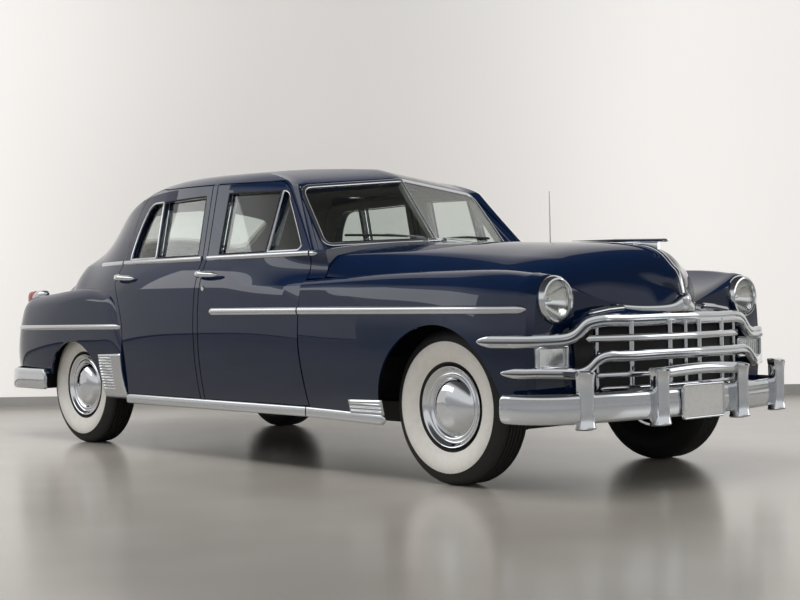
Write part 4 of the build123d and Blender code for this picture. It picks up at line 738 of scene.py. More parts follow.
def front_fender(wall, drop, last):
    """Right front fender moved in by wall; last shifts its front end along the car."""
    sections = []
    for x, foot, wide, shoulder, shoulder_z, crest, crest_z, valley, valley_z in FENDER:
        f, w = (-(HALF - foot - wall), SILL_Z - drop), (-(HALF - wide - wall), WIDE_Z)
        s = (-(HALF - shoulder - wall), shoulder_z - wall * 0.4)
        c = (-(HALF - crest - wall * 0.3), crest_z - wall)
        v = (-(HALF - valley + wall), valley_z - wall)
        rise = math.dist(s, c) * 0.16
        sections.append(trace(f, (w, s), (bulge(s, c, rise), c), (bulge(c, v, -math.dist(v, c) * 0.02), v),
                              (v[0], valley_z - 130 - drop), n=18))
    return loft(FENDER[:, 0] + last * (FENDER[:, 0] > 2200), sections)


def disc(radius, n=12):
    """Round profile."""
    t = np.linspace(0, 2 * math.pi, n, endpoint=False)
    return radius * np.stack([np.cos(t), np.sin(t)], 1)


LAMP_Y, LAMP_Z = -703, 857
bucket = disc(88, 48) + (LAMP_Y, LAMP_Z)
front_grid = front_fender(0, 0, 0)
bed = carve(closed_mesh(cabin(16, 16, 40)), (KEEP, block(687, 867, -935, 0, 0, 1300)))
fender = carve(closed_mesh(front_grid), (CUT, closed_mesh(front_fender(16, 60, -16))), (CUT, bed),
               (CUT, wheel_arch(FRONT_AXLE, 335, 416, -WIDE, -300)), (CUT, OPENINGS["front"]),
               (CUT, block(2000, NOSE, -WIDE, 0, 0, 430)), (CUT, prism(bucket, 2220, 2330, "x")))
both_sides("front_fender_{}_panel", fender, navy, "body", "front_fenders")
print("hood", len(hood.polygons), "front fender", len(fender.polygons))

# %% [markdown]
# Trim is a small profile carried along a path on the body. The path lies on the panel, found from the same
# grid of points that made it, so a moulding follows the metal. Turned pieces are profiles carried round an
# axle.

# %% Trim helpers
def on_side(grid, count, x, z):
    """Half-width y of a form's right side at places x and heights z: linear steps on the form's own grid."""
    x, z = np.broadcast_arrays(np.asarray(x, float), np.asarray(z, float))
    places = grid[:, 0, 0]
    k = np.clip(np.searchsorted(places, x) - 1, 0, len(places) - 2)
    w = ((x - places[k]) / (places[k + 1] - places[k]))[:, None, None]
    rows = grid[k, :count, 1:] * (1 - w) + grid[k + 1, :count, 1:] * w
    j = np.clip((rows[:, :, 1] < z[:, None]).sum(1) - 1, 0, count - 2)
    i = np.arange(len(x))
    a, b = rows[i, j], rows[i, j + 1]
    share = np.clip((z - a[:, 1]) / np.maximum(b[:, 1] - a[:, 1], 1e-6), 0, 1)
    return -(a[:, 0] + (b[:, 0] - a[:, 0]) * share)


FORMS = {"cabin": (cabin_grid, 42), "front": (front_grid, 36), "rear": (rear_grid, 32)}


def smooth_path(points, count):
    """A cubic curve through points, by the length along them, sampled at count places."""
    points = np.asarray(points, float)
    length = np.concatenate([[0], np.cumsum(np.linalg.norm(np.diff(points, axis=0), axis=1))])
    return spline(length, points, np.linspace(0, length[-1], count))


def sweep(path, profile, out, wrap=False, scale=None):
    """A profile of (outwards, upwards) points carried along a path; out is the outward direction there."""
    path = np.asarray(path, float)
    along = np.roll(path, -1, 0) - np.roll(path, 1, 0) if wrap else np.gradient(path, axis=0)
    along = unit(along)
    out = np.broadcast_to(np.asarray(out, float), path.shape)
    out = unit(out - (out * along).sum(1, keepdims=True) * along)
    side = np.cross(along, out)
    size = np.ones(len(path)) if scale is None else np.asarray(scale, float)
    profile = np.asarray(profile, float)
    grid = (path[:, None] + (size[:, None] * profile[:, 0])[:, :, None] * out[:, None]
            + (size[:, None] * profile[:, 1])[:, :, None] * side[:, None])
    return closed_mesh(grid, wrap)


def dome(width, height, base=4.0, n=11):
    """Half-round moulding profile: width across, height outwards, on a base sunk into the panel."""
    t = np.linspace(0, math.pi, n)
    arch = np.stack([height * np.sin(t) ** 0.7, -width / 2 * np.cos(t)], 1)
    return np.concatenate([[(-base, -width / 2)], arch, [(-base, width / 2)]])


def turned(profile, centre, axis, n=96):
    """A closed profile of (radius, along) points turned about an axle: radius times cosine and sine."""
    profile = np.asarray(profile, float)
    t = np.linspace(0, 2 * math.pi, n, endpoint=False)[:, None]
    r, a = profile[None, :, 0], profile[None, :, 1] + 0 * t
    first, second = r * np.cos(t), r * np.sin(t)
    parts = {"y": (first, a, second), "x": (a, first, second), "z": (first, second, a)}[axis]
    return closed_mesh(np.stack(parts, axis=2) + np.asarray(centre, float), wrap=True)


def tapered(length, count, first, last, over=26):
    """Scale along a moulding: one, falling to a small rounded tip at the ends that are free."""
    t = np.linspace(0, length, count)
    size = np.ones(count)
    if first:
        size = np.minimum(size, np.clip(t / over, 0.02, 1) ** 0.5)
    if last:
        size = np.minimum(size, np.clip((length - t) / over, 0.02, 1) ** 0.5)
    return size


def side_strip(name, form, x0, x1, z0, z1, profile, body, first=False, last=False, count=90):
    """A moulding along the body side from x0 to x1; its free ends are rounded off."""
    x = np.linspace(x0, x1, count)
    z = np.linspace(z0, z1, count)
    grid, samples = FORMS[form]
    path = np.stack([x, -on_side(grid, samples, x, z), z], 1)
    size = tapered(abs(x1 - x0), count, first, last)
    both_sides(name, sweep(path, profile, (0, -1, 0), scale=size), stainless, body)


# %% [markdown]
# Side mouldings are rolled strips clipped to the doors and fenders, each one ending at its panel's edge so
# that the doors can open. A curve with a bevel could draw them too; a swept profile also lets the free ends
# taper.

# %% Side mouldings
SPEAR = dome(38, 11)
side_strip("fender_spear_{}", "front", 2285, 747, 818, 822, SPEAR, "body", first=True)
side_strip("door_spear_{}", "cabin", 734, -45, 822, 822, SPEAR, "front_door_{}", last=True)
side_strip("rear_spear_{}", "rear", -984, -2330, 736, 726, dome(34, 11), "body", first=True, last=True)
ROCKER = dome(54, 10, 6)
side_strip("rocker_moulding_{}", "cabin", 742, -990, 303, 305, ROCKER, "body")
side_strip("rocker_front_{}", "front", 1362, 748, 290, 303, ROCKER, "body", first=True)
BELT = dome(30, 10)
side_strip("belt_front_door_{}", "cabin", 734, -148, 1120, 1120, BELT, "front_door_{}")
side_strip("belt_rear_door_{}", "cabin", -208, -1070, 1120, 1120, BELT, "rear_door_{}")
side_strip("belt_cowl_{}", "cabin", 800, 748, 1116, 1118, BELT, "body", first=True)
side_strip("belt_quarter_{}", "cabin", -1084, -1440, 1120, 1118, BELT, "body", last=True)


def ribbed_plate(form, x0, x1, low, high, pitch, plain=0.0, foot=0.0):
    """A pressed stone shield that follows the fender: level ribs, plain at its front and foot."""
    u = np.linspace(0, 1, 24)
    v = np.linspace(0, 1, 90)
    x = x0 + (x1 - x0) * u[:, None] + 0 * v
    z = low(u)[:, None] + (high(u) - low(u))[:, None] * v
    grid, samples = FORMS[form]
    y = on_side(grid, samples, x.ravel(), z.ravel()).reshape(x.shape)
    ends = np.minimum(u, 1 - u)[:, None] * abs(x1 - x0)
    edges = np.minimum(v, 1 - v) * (high(u) - low(u))[:, None]
    rim = np.minimum(ends, edges)
    ribs = np.clip((u - plain) / 0.04, 0, 1)[:, None] * np.clip((v - foot) / 0.03, 0, 1)
    wave = 3.0 * (np.cos(2 * math.pi * z / pitch) - 1) * ribs * np.clip(rim / 14 - 0.6, 0, 1)
    rise = 3 + 5 * np.clip(rim / 9, 0, 1) + wave
    outside = np.stack([x, -(y + rise), z], 2)
    inside = np.stack([x, -(y - 3), z], 2)[:, ::-1]
    return closed_mesh(np.concatenate([outside, inside], axis=1))


shield = ribbed_plate("front", 1364, 1108, lambda u: 312 + 0 * u, lambda u: 386 - 6 * u, 19)
both_sides("gravel_shield_{}", shield, stainless, "body")
shield = ribbed_plate("rear", -984, -1238, lambda u: 308 + 0 * u, lambda u: 574 - 8 * u, 17, 0.42, 0.16)
both_sides("stone_shield_{}", shield, stainless, "body")
apron = trace((-880, 330), (-880, 700), (-560, 700), (-560, 330), n=4)
both_sides("rear_splash_plate_{}", prism(apron, -2016, -2010, "x"), chassis_black, "body")
print("side mouldings done")

# %% [markdown]
# Windows: the vent panes have thin plated frames and the drop glass a rubber seal. The windshield has a wide
# frame and an upright bar between its two flat panes. Each is a closed sweep along the pane's own outline.

# %% Window frames
def window_frame(outline, form, width, height):
    """A closed moulding round a side window, on the body surface."""
    y = on_side(FORMS[form][0], 56, outline[:, 0], outline[:, 1])
    path = np.stack([outline[:, 0], -y + 1.5, outline[:, 1]], 1)
    return sweep(path, dome(width, height, 5), (0, -1, 0.35), wrap=True)


def rounded(points, radius, n=8):
    """A closed outline with eased corners: each one a quadratic curve between two cut-back points."""
    points = np.asarray(points, float)
    before, after = np.roll(points, 1, 0), np.roll(points, -1, 0)
    cut = np.asarray(radius, float)[:, None]
    a, b = points + unit(before - points) * cut, points + unit(after - points) * cut
    s = np.linspace(0, 1, n)[None, :, None]
    curve = a[:, None] * (1 - s) ** 2 + 2 * points[:, None] * s * (1 - s) + b[:, None] * s ** 2
    return curve.reshape(-1, points.shape[1])


for end, _, windows in DOORS:
    vent, drop = sorted(windows(-3.0), key=lambda outline: np.ptp(outline[:, 0]))
    for name, pane, width, height, material in (("vent_frame", vent, 12, 5, chrome),
                                                ("window_seal", drop, 9, 2.5, rubber)):
        moulding = window_frame(pane, "cabin", width, height)
        both_sides(f"{end}_{name}_{{}}", moulding, material, f"{end}_door_{{}}", angle=50)
corners = [(-688, 1160), (0, 1195), (688, 1160), (648, 1484), (0, 1541), (-648, 1484)]
loop = rounded(corners, (48, 20, 48, 60, 20, 60))
ones = np.ones(len(loop))
normal = unit(np.stack([ones, PANE_SWEEP * np.sign(loop[:, 0]), PANE_RAKE * ones], 1))
path = np.stack([pane_x(loop[:, 0], loop[:, 1]), loop[:, 0], loop[:, 1]], 1) + normal * 4
piece("windshield_frame", sweep(path, dome(26, 10, 8), normal, wrap=True), chrome, "body", angle=60)
PANE_NORMAL = unit(np.array([1, 0.0, PANE_RAKE]))


def on_glass(y, z, lift):
    """Points over the windshield at (y, z), lifted off along the normal of its middle."""
    return np.stack([pane_x(y, z), y, z], 1) + PANE_NORMAL * lift


z = np.linspace(1202, 1534, 30)
path = on_glass(0 * z, z, 4)
piece("windshield_divider", sweep(path, dome(20, 9, 6), PANE_NORMAL), chrome, "body")
panes = [f"{end}_door_glass_{side}" for end, _, _ in DOORS for side, _ in SIDES]
for node in ("windshield", "rear_window", *panes):
    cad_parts[node].material_slots[0].material = glass
print("window frames done")

# %% [markdown]
# Wheels. The tyre is a ring with five tread grooves and a broad white band; the plated cap and its trim ring
# are one turned profile. A Spin or Screw modifier would do the same, but here the radius is at hand to pick
# the white faces.

# %% Tyres and wheel covers
SIDEWALL = np.array([(191, 58), (200, 64), (210, 74), (211.5, 75), (245, 94), (280, 103), (306, 101),
                     (308, 100), (335, 92), (353, 78), (363, 66)])
WHITE_FROM, WHITE_TO = 211, 307
groove = np.array([(WHEEL_R, 3.5), (WHEEL_R - 7, 2.5), (WHEEL_R - 7, -2.5), (WHEEL_R, -3.5)])
tread = np.concatenate([[(WHEEL_R, 60)], *[groove + (0, c) for c in (44, 22, 0, -22, -44)], [(WHEEL_R, -60)]])
TYRE = np.concatenate([SIDEWALL, tread, SIDEWALL[::-1] * (1, -1)])
COVER = np.array([(0.5, 92), (40, 90.5), (75, 86), (102, 78), (120, 69), (130, 61), (134, 56), (137, 54),
                  (141, 56), (146, 60), (152, 61), (158, 57), (164, 57), (172, 62), (180, 70), (186, 75),
                  (190, 76), (193, 73), (194, 68), (193, 65), (190.5, 63), (190.5, -72), (178, -72),
                  (178, 38), (140, 36), (60, 20), (60, -46), (19, -46), (19, 22), (0.5, 22)])
for end, x, y in (("front", FRONT_AXLE, FRONT_Y), ("rear", REAR_AXLE, REAR_Y)):
    for side, sign in SIDES:
        centre = np.array([x, sign * y, WHEEL_R])
        wheel = f"wheel_{end}_{side}"
        ring = turned(TYRE, centre, "y", 128)

        def white_faces(at, normal):
            """Faces of the outer wall between the two radii of the white band."""
            from_axle = np.hypot(at[:, 0] - centre[0], at[:, 2] - centre[2])
            return (from_axle > WHITE_FROM) & (from_axle < WHITE_TO) & ((at[:, 1] - centre[1]) * sign > 40)

        lined(ring, white_faces)
        piece(f"tyre_{end}_{side}_ring", ring, (rubber, white_wall), wheel, f"tyre_{end}_{side}", angle=40)
        cover = turned(COVER * (1, sign), centre, "y", 128)
        piece(f"wheel_cover_{end}_{side}", cover, chrome, wheel, wheel, angle=40)
print("wheels done")

# %% [markdown]
# The face of the car: two long bars that sweep up from the fender sides into the grille, with level bars and
# uprights between them. The long bars are die castings with a stepped face, so one profile is carried along
# a smooth path, and only half of each path is written down.

# %% Grille
def mirrored_path(half, count):
    """A smooth path symmetric about the middle, from half of its points, right end first."""
    half = np.asarray(half, float)
    return smooth_path(np.concatenate([half * (1, -1, 1), half[-2::-1]]), count)


def level_out(path):
    """Level outward directions along a path that runs from right to left round the front."""
    along = unit(np.gradient(path, axis=0))
    return np.stack([along[:, 1], -along[:, 0], 0 * along[:, 0]], 1)


def face_bar(name, half, profile, count=161, tip=70):
    """A plated bar across the face, its ends rounded to a point."""
    path = mirrored_path(half, count)
    length = np.linalg.norm(np.diff(path, axis=0), axis=1).sum()
    bar = sweep(path, profile, level_out(path), scale=tapered(length, count, True, True, tip))
    piece(name, bar, chrome, "body", "grille")


UPPER_BAR = ((2048, 936, 676), (2150, 922, 676), (2230, 903, 676), (2272, 890, 676), (2296, 874, 676),
             (2312, 850, 676), (2326, 800, 676), (2348, 728, 678), (2368, 672, 687), (2380, 628, 712),
             (2388, 590, 742), (2402, 540, 757), (2428, 380, 760), (2456, 190, 761), (2464, 0, 761))
LOWER_BAR = ((2177, 918, 537), (2240, 900, 537), (2276, 888, 537), (2298, 872, 537), (2314, 848, 537),
             (2340, 796, 535), (2384, 716, 531), (2415, 662, 531), (2431, 622, 548), (2436, 588, 574),
             (2442, 550, 594), (2460, 450, 601), (2488, 220, 601), (2500, 0, 601))
STEPPED = np.array([(-14, -29), (4, -29), (11, -24), (14, -14), (13, -6), (9, -3), (12, 1), (17, 8),
                    (17, 16), (12, 24), (4, 29), (-14, 29)], float)
face_bar("grille_upper_bar", UPPER_BAR, STEPPED)
face_bar("grille_lower_bar", LOWER_BAR, STEPPED * 0.82)
for name, z, half_width, end_x, bow, height in (("grille_middle_bar", 681, 570, 2372, 118, 34),
                                                ("grille_low_bar", 517, 545, 2410, 88, 26),
                                                ("grille_base_bar", 456, 520, 2412, 74, 24)):
    y = np.linspace(half_width, 0, 9)
    half = np.stack([end_x + bow * (1 - (y / half_width) ** 2), y, np.full(9, z)], 1)
    face_bar(name, half, dome(height, 11, 12), tip=14)
UPRIGHTS = ((-515, 18), (-340, 29), (-110, 27), (0, 20), (110, 27), (340, 29), (515, 18))  # y, width
for number, (y, width) in enumerate(UPRIGHTS):
    x = NOSE - 132 - 118 * (y / 560) ** 2
    z = np.linspace(450, 756, 12)
    bar = sweep(np.stack([np.full(12, x - 12), np.full(12, float(y)), z], 1), dome(width, 10, 12), (1, 0, 0))
    piece(f"grille_upright_{number}", bar, chrome, "body", "grille")
# A black sheet behind the bars fills the grille opening with painted shade.
shade = trace((-560, 360), (-600, 740), (600, 740), (560, 360), n=20)
piece("grille_shadow_panel", prism(shade, 2313, 2319, "x"), chassis_black, "body")
print("grille bars done")

# %% [markdown]
# Nose valance: the painted sheet from the hood's lower lip and the fender aprons down to the upper bar. It
# is a ruled surface between two edges that were measured point by point, with a small swell so that it
# catches the light.

# %% Nose valance and hood mouldings
LIP_Y = np.array([0, 95, 140, 205, 304, 400, 500, 600], float)
LIP_X = np.array([2472, 2456, 2428, 2378, 2313, 2312, 2312, 2312], float)
LIP_Z = np.array([804, 801, 801, 806, 826, 818, 798, 752], float)
FOOT_Y = np.array([0, 190, 380, 540, 590, 628], float)
FOOT_X = np.array([2458, 2450, 2422, 2396, 2382, 2374], float)
FOOT_Z = np.array([768, 768, 767, 763, 746, 716], float)
t = np.linspace(-1, 1, 121)
top_y, foot_y = 600 * np.abs(t), 628 * np.abs(t)
top = np.stack([np.interp(top_y, LIP_Y, LIP_X), 600 * t, np.interp(top_y, LIP_Y, LIP_Z)], 1)
foot = np.stack([np.interp(foot_y, FOOT_Y, FOOT_X), 628 * t, np.interp(foot_y, FOOT_Y, FOOT_Z)], 1)
v = np.linspace(0, 1, 16)[:, None, None]
face = top[None] * (1 - v) + foot[None] * v
face[:, :, 0] += 12 * np.sin(math.pi * v[:, :, 0])
face[:, :, 2] += 8 * np.sin(math.pi * v[:, :, 0])
ring = np.concatenate([face, (face - (12, 0, 4))[::-1]], axis=0).transpose(1, 0, 2)
piece("nose_valance", closed_mesh(ring), navy, "body", "nose_panel", angle=50)
WING = ((2324, 298, 822), (2386, 204, 812), (2436, 140, 810), (2466, 92, 812), (2482, 40, 822),
        (2487, 0, 832))
path = mirrored_path(WING, 101)
swell = 0.7 + 0.45 * np.exp(-(path[:, 1] / 150) ** 2) + 0.85 * np.exp(-(path[:, 1] / 45) ** 2)
piece("hood_wing_moulding", sweep(path, dome(38, 8, 8), level_out(path), scale=swell), chrome, "hood")
button = turned([(0.5, 0), (27, 0), (27, 10), (21, 15), (0.5, 18)], (2494, 0, 850), "x", 40)
piece("hood_button", button, chrome, "hood")
strip = face[5, 8:32] + (5, 0, 6)
strip = sweep(smooth_path(strip, 40), dome(24, 8, 8), (0.75, 0, 0.66), scale=tapered(200, 40, True, True, 12))
both_sides("nose_strip_{}", strip, stainless, "body")
print("nose done")

# %% [markdown]
# Bumpers are thick plated steel blades that wrap round the corners, with upright guards and a blank plate.
# The blade is one rolled section along its plan curve; a guard is a stack of rounded sections that flare at
# foot and head.

# %% Bumpers, guards and plate
BUMPER_Z, BLADE_HALF, FRONT_FACE = 383, 950, NOSE - 53
BLADE = np.array([(-24, 66), (-9, 66), (-2, 61), (2, 48), (4, 20), (4, -10), (1, -34), (2, -44), (0, -56),
                  (-6, -64), (-12, -66), (-24, -66)], float)


def blade_path(tip, bow_half, bow, end, z):
    """Plan of a bumper's face: straight wrap, round corner, long arc, and the same on the other side."""
    side, corner = -BLADE_HALF, BLADE_HALF - bow_half
    cut = corner * (1 - math.sqrt(0.5))
    flat = np.concatenate([np.linspace((end, side), (end - 34, side), 10, endpoint=False),
                           np.linspace((end - 34, side), (bow + corner, side), 12, endpoint=False)])
    turn_in = arc((bow + corner, side), (bow + cut, side + cut), (bow, -bow_half), 24)
    long_arc = arc((bow, -bow_half), (0.0, 0.0), (bow, bow_half), 60)
    plan = np.concatenate([flat, turn_in, long_arc, [(bow, bow_half)], turn_in[:0:-1] * (1, -1),
                           [(bow + corner, -side)], flat[::-1] * (1, -1)])
    return np.stack([tip - plan[:, 0], plan[:, 1], np.full(len(plan), z)], 1)


def guard_form(back, tip, low, high, y):
    """An upright guard: rounded across, flared at its foot and head, its nose a shallow curve."""
    t = np.linspace(0, 1, 40)
    s = 2 * t - 1
    half = 34 + 15 * s ** 6 - 12 * np.clip((np.abs(s) - 0.94) / 0.06, 0, 1) ** 2
    tuck = np.clip((np.abs(s) - 0.9) / 0.1, 0, 1)
    front = (tip - back) * (0.86 + 0.14 * s ** 4) * np.sqrt(np.clip(1 - tuck ** 2 * 0.6, 0, 1))
    a = np.linspace(-math.pi / 2, math.pi / 2, 22)
    depth = front[:, None] * np.cos(a)[None] ** 0.85
    across = half[:, None] * np.sin(a)[None]
    z = low + (high - low) * t
    grid = np.stack([back + depth, y + across, np.broadcast_to(z[:, None], depth.shape)], 2)
    return closed_mesh(grid)


def end_round(path, over=34):
    """Scale that rounds off both ends of a bumper blade."""
    run = np.concatenate([[0], np.cumsum(np.linalg.norm(np.diff(path, axis=0), axis=1))])
    near = np.minimum(run, run[-1] - run)
    return 0.72 + 0.28 * np.sqrt(np.clip(1 - (1 - np.clip(near / over, 0, 1)) ** 2, 0, 1))


path = blade_path(FRONT_FACE, 700, 80, 378, BUMPER_Z)
blade = sweep(path, BLADE, level_out(path), scale=end_round(path))
piece("front_bumper_blade", blade, chrome, "body", "front_bumper", angle=40)
for y, low, high, tip in ((300, 284, 546, NOSE), (720, 290, 548, 2548)):
    x = FRONT_FACE - 80 * (y / 700) ** 2
    both_sides(f"front_guard_{y}_{{}}", guard_form(x - 20, tip, low, high, -float(y)), chrome, "body")
y = np.linspace(-300, 300, 40)
rail = np.stack([2572 + 10 * np.cos(y / 300 * math.pi / 2), y, 520 + 12 * np.cos(y / 300 * math.pi / 2)], 1)
piece("guard_rail", sweep(rail, disc(15, 20) * (1, 1.75), (1, 0, 0)), chrome, "body")
path = blade_path(-TAIL - 4, 640, 90, 738, 396) * (-1, 1, 1)
blade = sweep(path, BLADE * (1, -1), -level_out(path), scale=end_round(path))
piece("rear_bumper_blade", blade, chrome, "body", "rear_bumper", angle=40)
for side, sign in SIDES:
    x = TAIL + 4 + 90 * (330 / 640) ** 2
    guard = guard_form(-(x + 20), -TAIL, 300, 545, sign * 330.0)
    guard.transform(Matrix.Diagonal((-1, 1, 1, 1)))
    guard.flip_normals()
    piece(f"rear_guard_{side}", guard, chrome, "body")
    for end, x0, x1 in (("front", 2380.4, 2524), ("rear", -2566, -2430.4)):
        arm = block(x0, x1, sign * 365, sign * 415, 345, 420)
        piece(f"{end}_bumper_arm_{side}", arm, chassis_black, "body")


plate = rounded_rectangle(305, 152, 10) + (0, BUMPER_Z)
piece("plate_blank", prism(plate, 2583, 2586, "x"), plate_white, "body")
rim = np.stack([np.full(len(plate), 2586.0), plate[:, 0], plate[:, 1]], 1)
piece("plate_frame", sweep(rim, dome(11, 6, 6), (1, 0, 0), wrap=True), chrome, "body")
print("bumpers done")

# %% [markdown]
# Lamps. A headlamp is a plated rim, a pressed glass lens, a silvered bowl and a bulb, all turned on one
# axis, and the bowl is a true paraboloid, so it gathers the light of the room as the real one does. Each
# tail lamp is a plated pod with a red lens, both made of super-ellipse sections.

# %% Lamps
RIM = np.array([(104, -14), (109, -6), (110, 6), (106, 20), (98, 29), (91, 31), (87, 27), (85, 18),
                (85, -14)])
LENS = np.array([(0.5, 34), (30, 32.5), (58, 28), (76, 22), (85.5, 16), (85.5, 13), (75, 19), (57, 25),
                 (30, 29.5), (0.5, 31)])
r = np.linspace(0.5, 85.5, 14)
bowl = np.stack([r, -56 + 73 * (r / 85.5) ** 2], 1)
DISH = np.concatenate([bowl, bowl[::-1] - (0, 4)])
lamp = (2304, LAMP_Y, LAMP_Z)
BULB = np.array([(0.5, -18), (7, -20), (10, -28), (10, -54), (0.5, -54)])
for name, profile, material in (("headlamp_rim_{}", RIM, chrome), ("headlamp_lens_{}", LENS, lamp_glass),
                                ("headlamp_dish_{}", DISH, silvered), ("headlamp_bulb_{}", BULB, chrome)):
    both_sides(name, turned(profile, lamp, "x", 80), material, "body", "front_lamps")
outline = rounded_rectangle(192, 92, 9)
PARK = (-738, 603)
path = np.stack([np.full(len(outline), 2322.0), outline[:, 0] + PARK[0], outline[:, 1] + PARK[1]], 1)
rim = sweep(path, dome(16, 10, 12), (1, 0, 0), wrap=True)
both_sides("parking_lamp_rim_{}", rim, chrome, "body", "front_lamps")
for name, low, high, material in (("lens", 2316, 2322, lamp_glass), ("back", 2311, 2314, silvered)):
    sheet = prism(rounded_rectangle(182, 82, 7) + PARK, low, high, "x")
    both_sides(f"parking_lamp_{name}_{{}}", sheet, material, "body")


def pod(places, half_y, half_z, centre_y, centre_z, power=2.6):
    """A rounded pod: super-ellipse sections of given half sizes along x."""
    a = np.linspace(0, 2 * math.pi, 40, endpoint=False)
    c, s = np.cos(a), np.sin(a)
    ring = np.stack([np.sign(c) * np.abs(c) ** (2 / power), np.sign(s) * np.abs(s) ** (2 / power)], 1)
    y = centre_y + np.asarray(half_y, float)[:, None] * ring[:, 0]
    z = np.asarray(centre_z, float)[:, None] + np.asarray(half_z, float)[:, None] * ring[:, 1]
    return closed_mesh(np.stack([np.broadcast_to(np.asarray(places, float)[:, None], y.shape), y, z], 2))


run = np.linspace(0, 1, 30)
shape = np.sqrt(np.clip(1 - (1 - run) ** 2.2, 0.0004, 1))
form = pod(-2100 - 142 * run, 4 + 34 * shape, 3 + 44 * shape, -800, 950 - 32 * run)
both_sides("tail_lamp_pod_{}", form, chrome, "body", "tail_lamps")
shape = np.sqrt(np.clip(1 - run ** 5, 0.0004, 1))
form = pod(-2238 - 98 * run, 37 * shape, 55 * shape, -800, 915 + 0 * run, 3.2)
both_sides("tail_lamp_lens_{}", form, red_lens, "body", "tail_lamps")
print("lamps done")

# %% [markdown]
# Small fittings: lever handles, locks, wipers, a round mirror, a whip aerial and the long ornament on the
# hood. They are round bars along short curves, or turned buttons, so the sweep and the lathe of the steps
# above do them all.

# %% Fittings
HANDLE_Z, LOCK_Z = 1030, 950
for end, pivot, tip in (("front", -172, 36), ("rear", -1066, -852)):
    y = float(on_side(*FORMS["cabin"], [pivot], [HANDLE_Z])[0])
    lever = smooth_path([(pivot, -(y - 4), HANDLE_Z), (pivot, -(y + 22), HANDLE_Z + 1),
                         (pivot + 24, -(y + 38), HANDLE_Z + 2), (pivot + 110, -(y + 40), HANDLE_Z - 1),
                         (tip, -(y + 28), HANDLE_Z - 6)], 60)
    size = np.concatenate([np.full(12, 1.25), np.linspace(1.25, 0.95, 36),
                           0.95 * np.sqrt(np.linspace(1, 0.02, 12))])
    lever = sweep(lever, disc(12, 18) * (1.25, 0.8), (0, 0, 1), scale=size)
    both_sides(f"{end}_handle_{{}}", lever, chrome, f"{end}_door_{{}}")
    base = turned([(0.5, 6), (25, 6), (25, -3), (18, -10), (0.5, -11)], (pivot, -y, HANDLE_Z), "y", 32)
    both_sides(f"{end}_handle_base_{{}}", base, chrome, f"{end}_door_{{}}")
y = float(on_side(*FORMS["cabin"], [-130], [LOCK_Z])[0])
lock = turned([(0.5, 4), (14, 4), (14, -3), (10, -6), (0.5, -6)], (-118, -y, LOCK_Z), "y", 24)
both_sides("door_lock_{}", lock, chrome, "front_door_{}")
for side, sign in SIDES:
    arm = on_glass(sign * np.array([70.0, 150, 300]), np.array([1198.0, 1206, 1216]), 17)
    piece(f"wiper_arm_{side}", sweep(smooth_path(arm, 30), disc(5, 10), PANE_NORMAL), stainless, "body")
    edge = on_glass(sign * np.array([170.0, 330, 545]), np.array([1210.0, 1213, 1212]), 12)
    piece(f"wiper_blade_{side}", sweep(smooth_path(edge, 20), disc(6.4, 10), PANE_NORMAL), rubber, "body")
    pivot = turned([(0.5, -8), (17, -8), (15, 8), (8, 20), (0.5, 21)], (806, sign * 70, 1186), "z", 24)
    piece(f"wiper_pivot_{side}", pivot, chrome, "body")
AERIAL = (912, 818)
whip = smooth_path([(*AERIAL, 985), (AERIAL[0] - 1, AERIAL[1], 1150), (AERIAL[0] - 4, AERIAL[1], 1490)], 30)
piece("aerial_whip", sweep(whip, disc(3, 8), (1, 0, 0), scale=np.linspace(1.5, 0.9, 30)), stainless, "body")
base = turned([(0.5, -20), (17, -20), (15, 8), (7, 26), (0.5, 28)], (*AERIAL, 985), "z", 24)
piece("aerial_base", base, chrome, "body")
stalk = smooth_path([(520, 866, 1130), (515, 885, 1170), (500, 900, 1225)], 16)
piece("mirror_stalk", sweep(stalk, disc(6, 10), (1, 0, 0)), chrome, "front_door_left")
head = turned([(0.5, 18), (22, 14), (42, 4), (45, -4), (42, -9), (0.5, -9)], (498, 900, 1240), "x", 40)
piece("mirror_head", head, chrome, "front_door_left")
x = np.linspace(1800, 2398, 70)
spear = np.stack([x, 0 * x, 1150 - 20 * (x - 1800) / 598], 1)
size = np.minimum(np.clip((x - 1780) / 300, 0.15, 1), np.sqrt(np.clip((2400 - x) / 18, 0.01, 1)))
spear = sweep(spear, disc(10, 20) * (0.9, 2.9), (0, 0, 1), scale=size)
piece("hood_spear", spear, chrome, "hood", "hood_ornament")
run = np.linspace(0, 1, 24)
foot_x = 2130 + 210 * run
foot_top = 1139 - 8 * run
foot_low = spline(HOOD[:, 0], HOOD[:, 5], foot_x) - 8
a = np.linspace(0, 2 * math.pi, 24, endpoint=False)
wide = 5 + 13 * np.sqrt(np.clip(np.sin(math.pi * np.clip(run, 0.02, 0.98)), 0, 1))
middle, half = (foot_top + foot_low) / 2, (foot_top - foot_low) / 2
post = np.stack([foot_x[:, None] + 0 * a, wide[:, None] * np.cos(a),
                 middle[:, None] + half[:, None] * np.sin(a)], 2)
piece("spear_foot", closed_mesh(post), chrome, "hood")
x = np.linspace(2200, 2475, 60)
nose_line = np.stack([x, 0 * x, spline(HOOD[:, 0], HOOD[:, 5], x)], 1)
nose_line = smooth_path(np.concatenate([nose_line, [(2480, 0, 880)]]), 80)
along = unit(np.gradient(nose_line, axis=0))
out = np.stack([-along[:, 2], 0 * along[:, 0], along[:, 0]], 1)
nose_strip = sweep(nose_line, dome(34, 8, 10), out, scale=np.linspace(1.0, 0.62, 80))
piece("hood_nose_strip", nose_strip, chrome, "hood")
print("fittings done")

# %% [markdown]
# Cabin and chassis. The bench seats are pleated wool cushions, seen only through glass, so a formula gives
# their swell between the seams and no cloth simulation is run. The rest keeps its CAD shape and gets a
# finish.

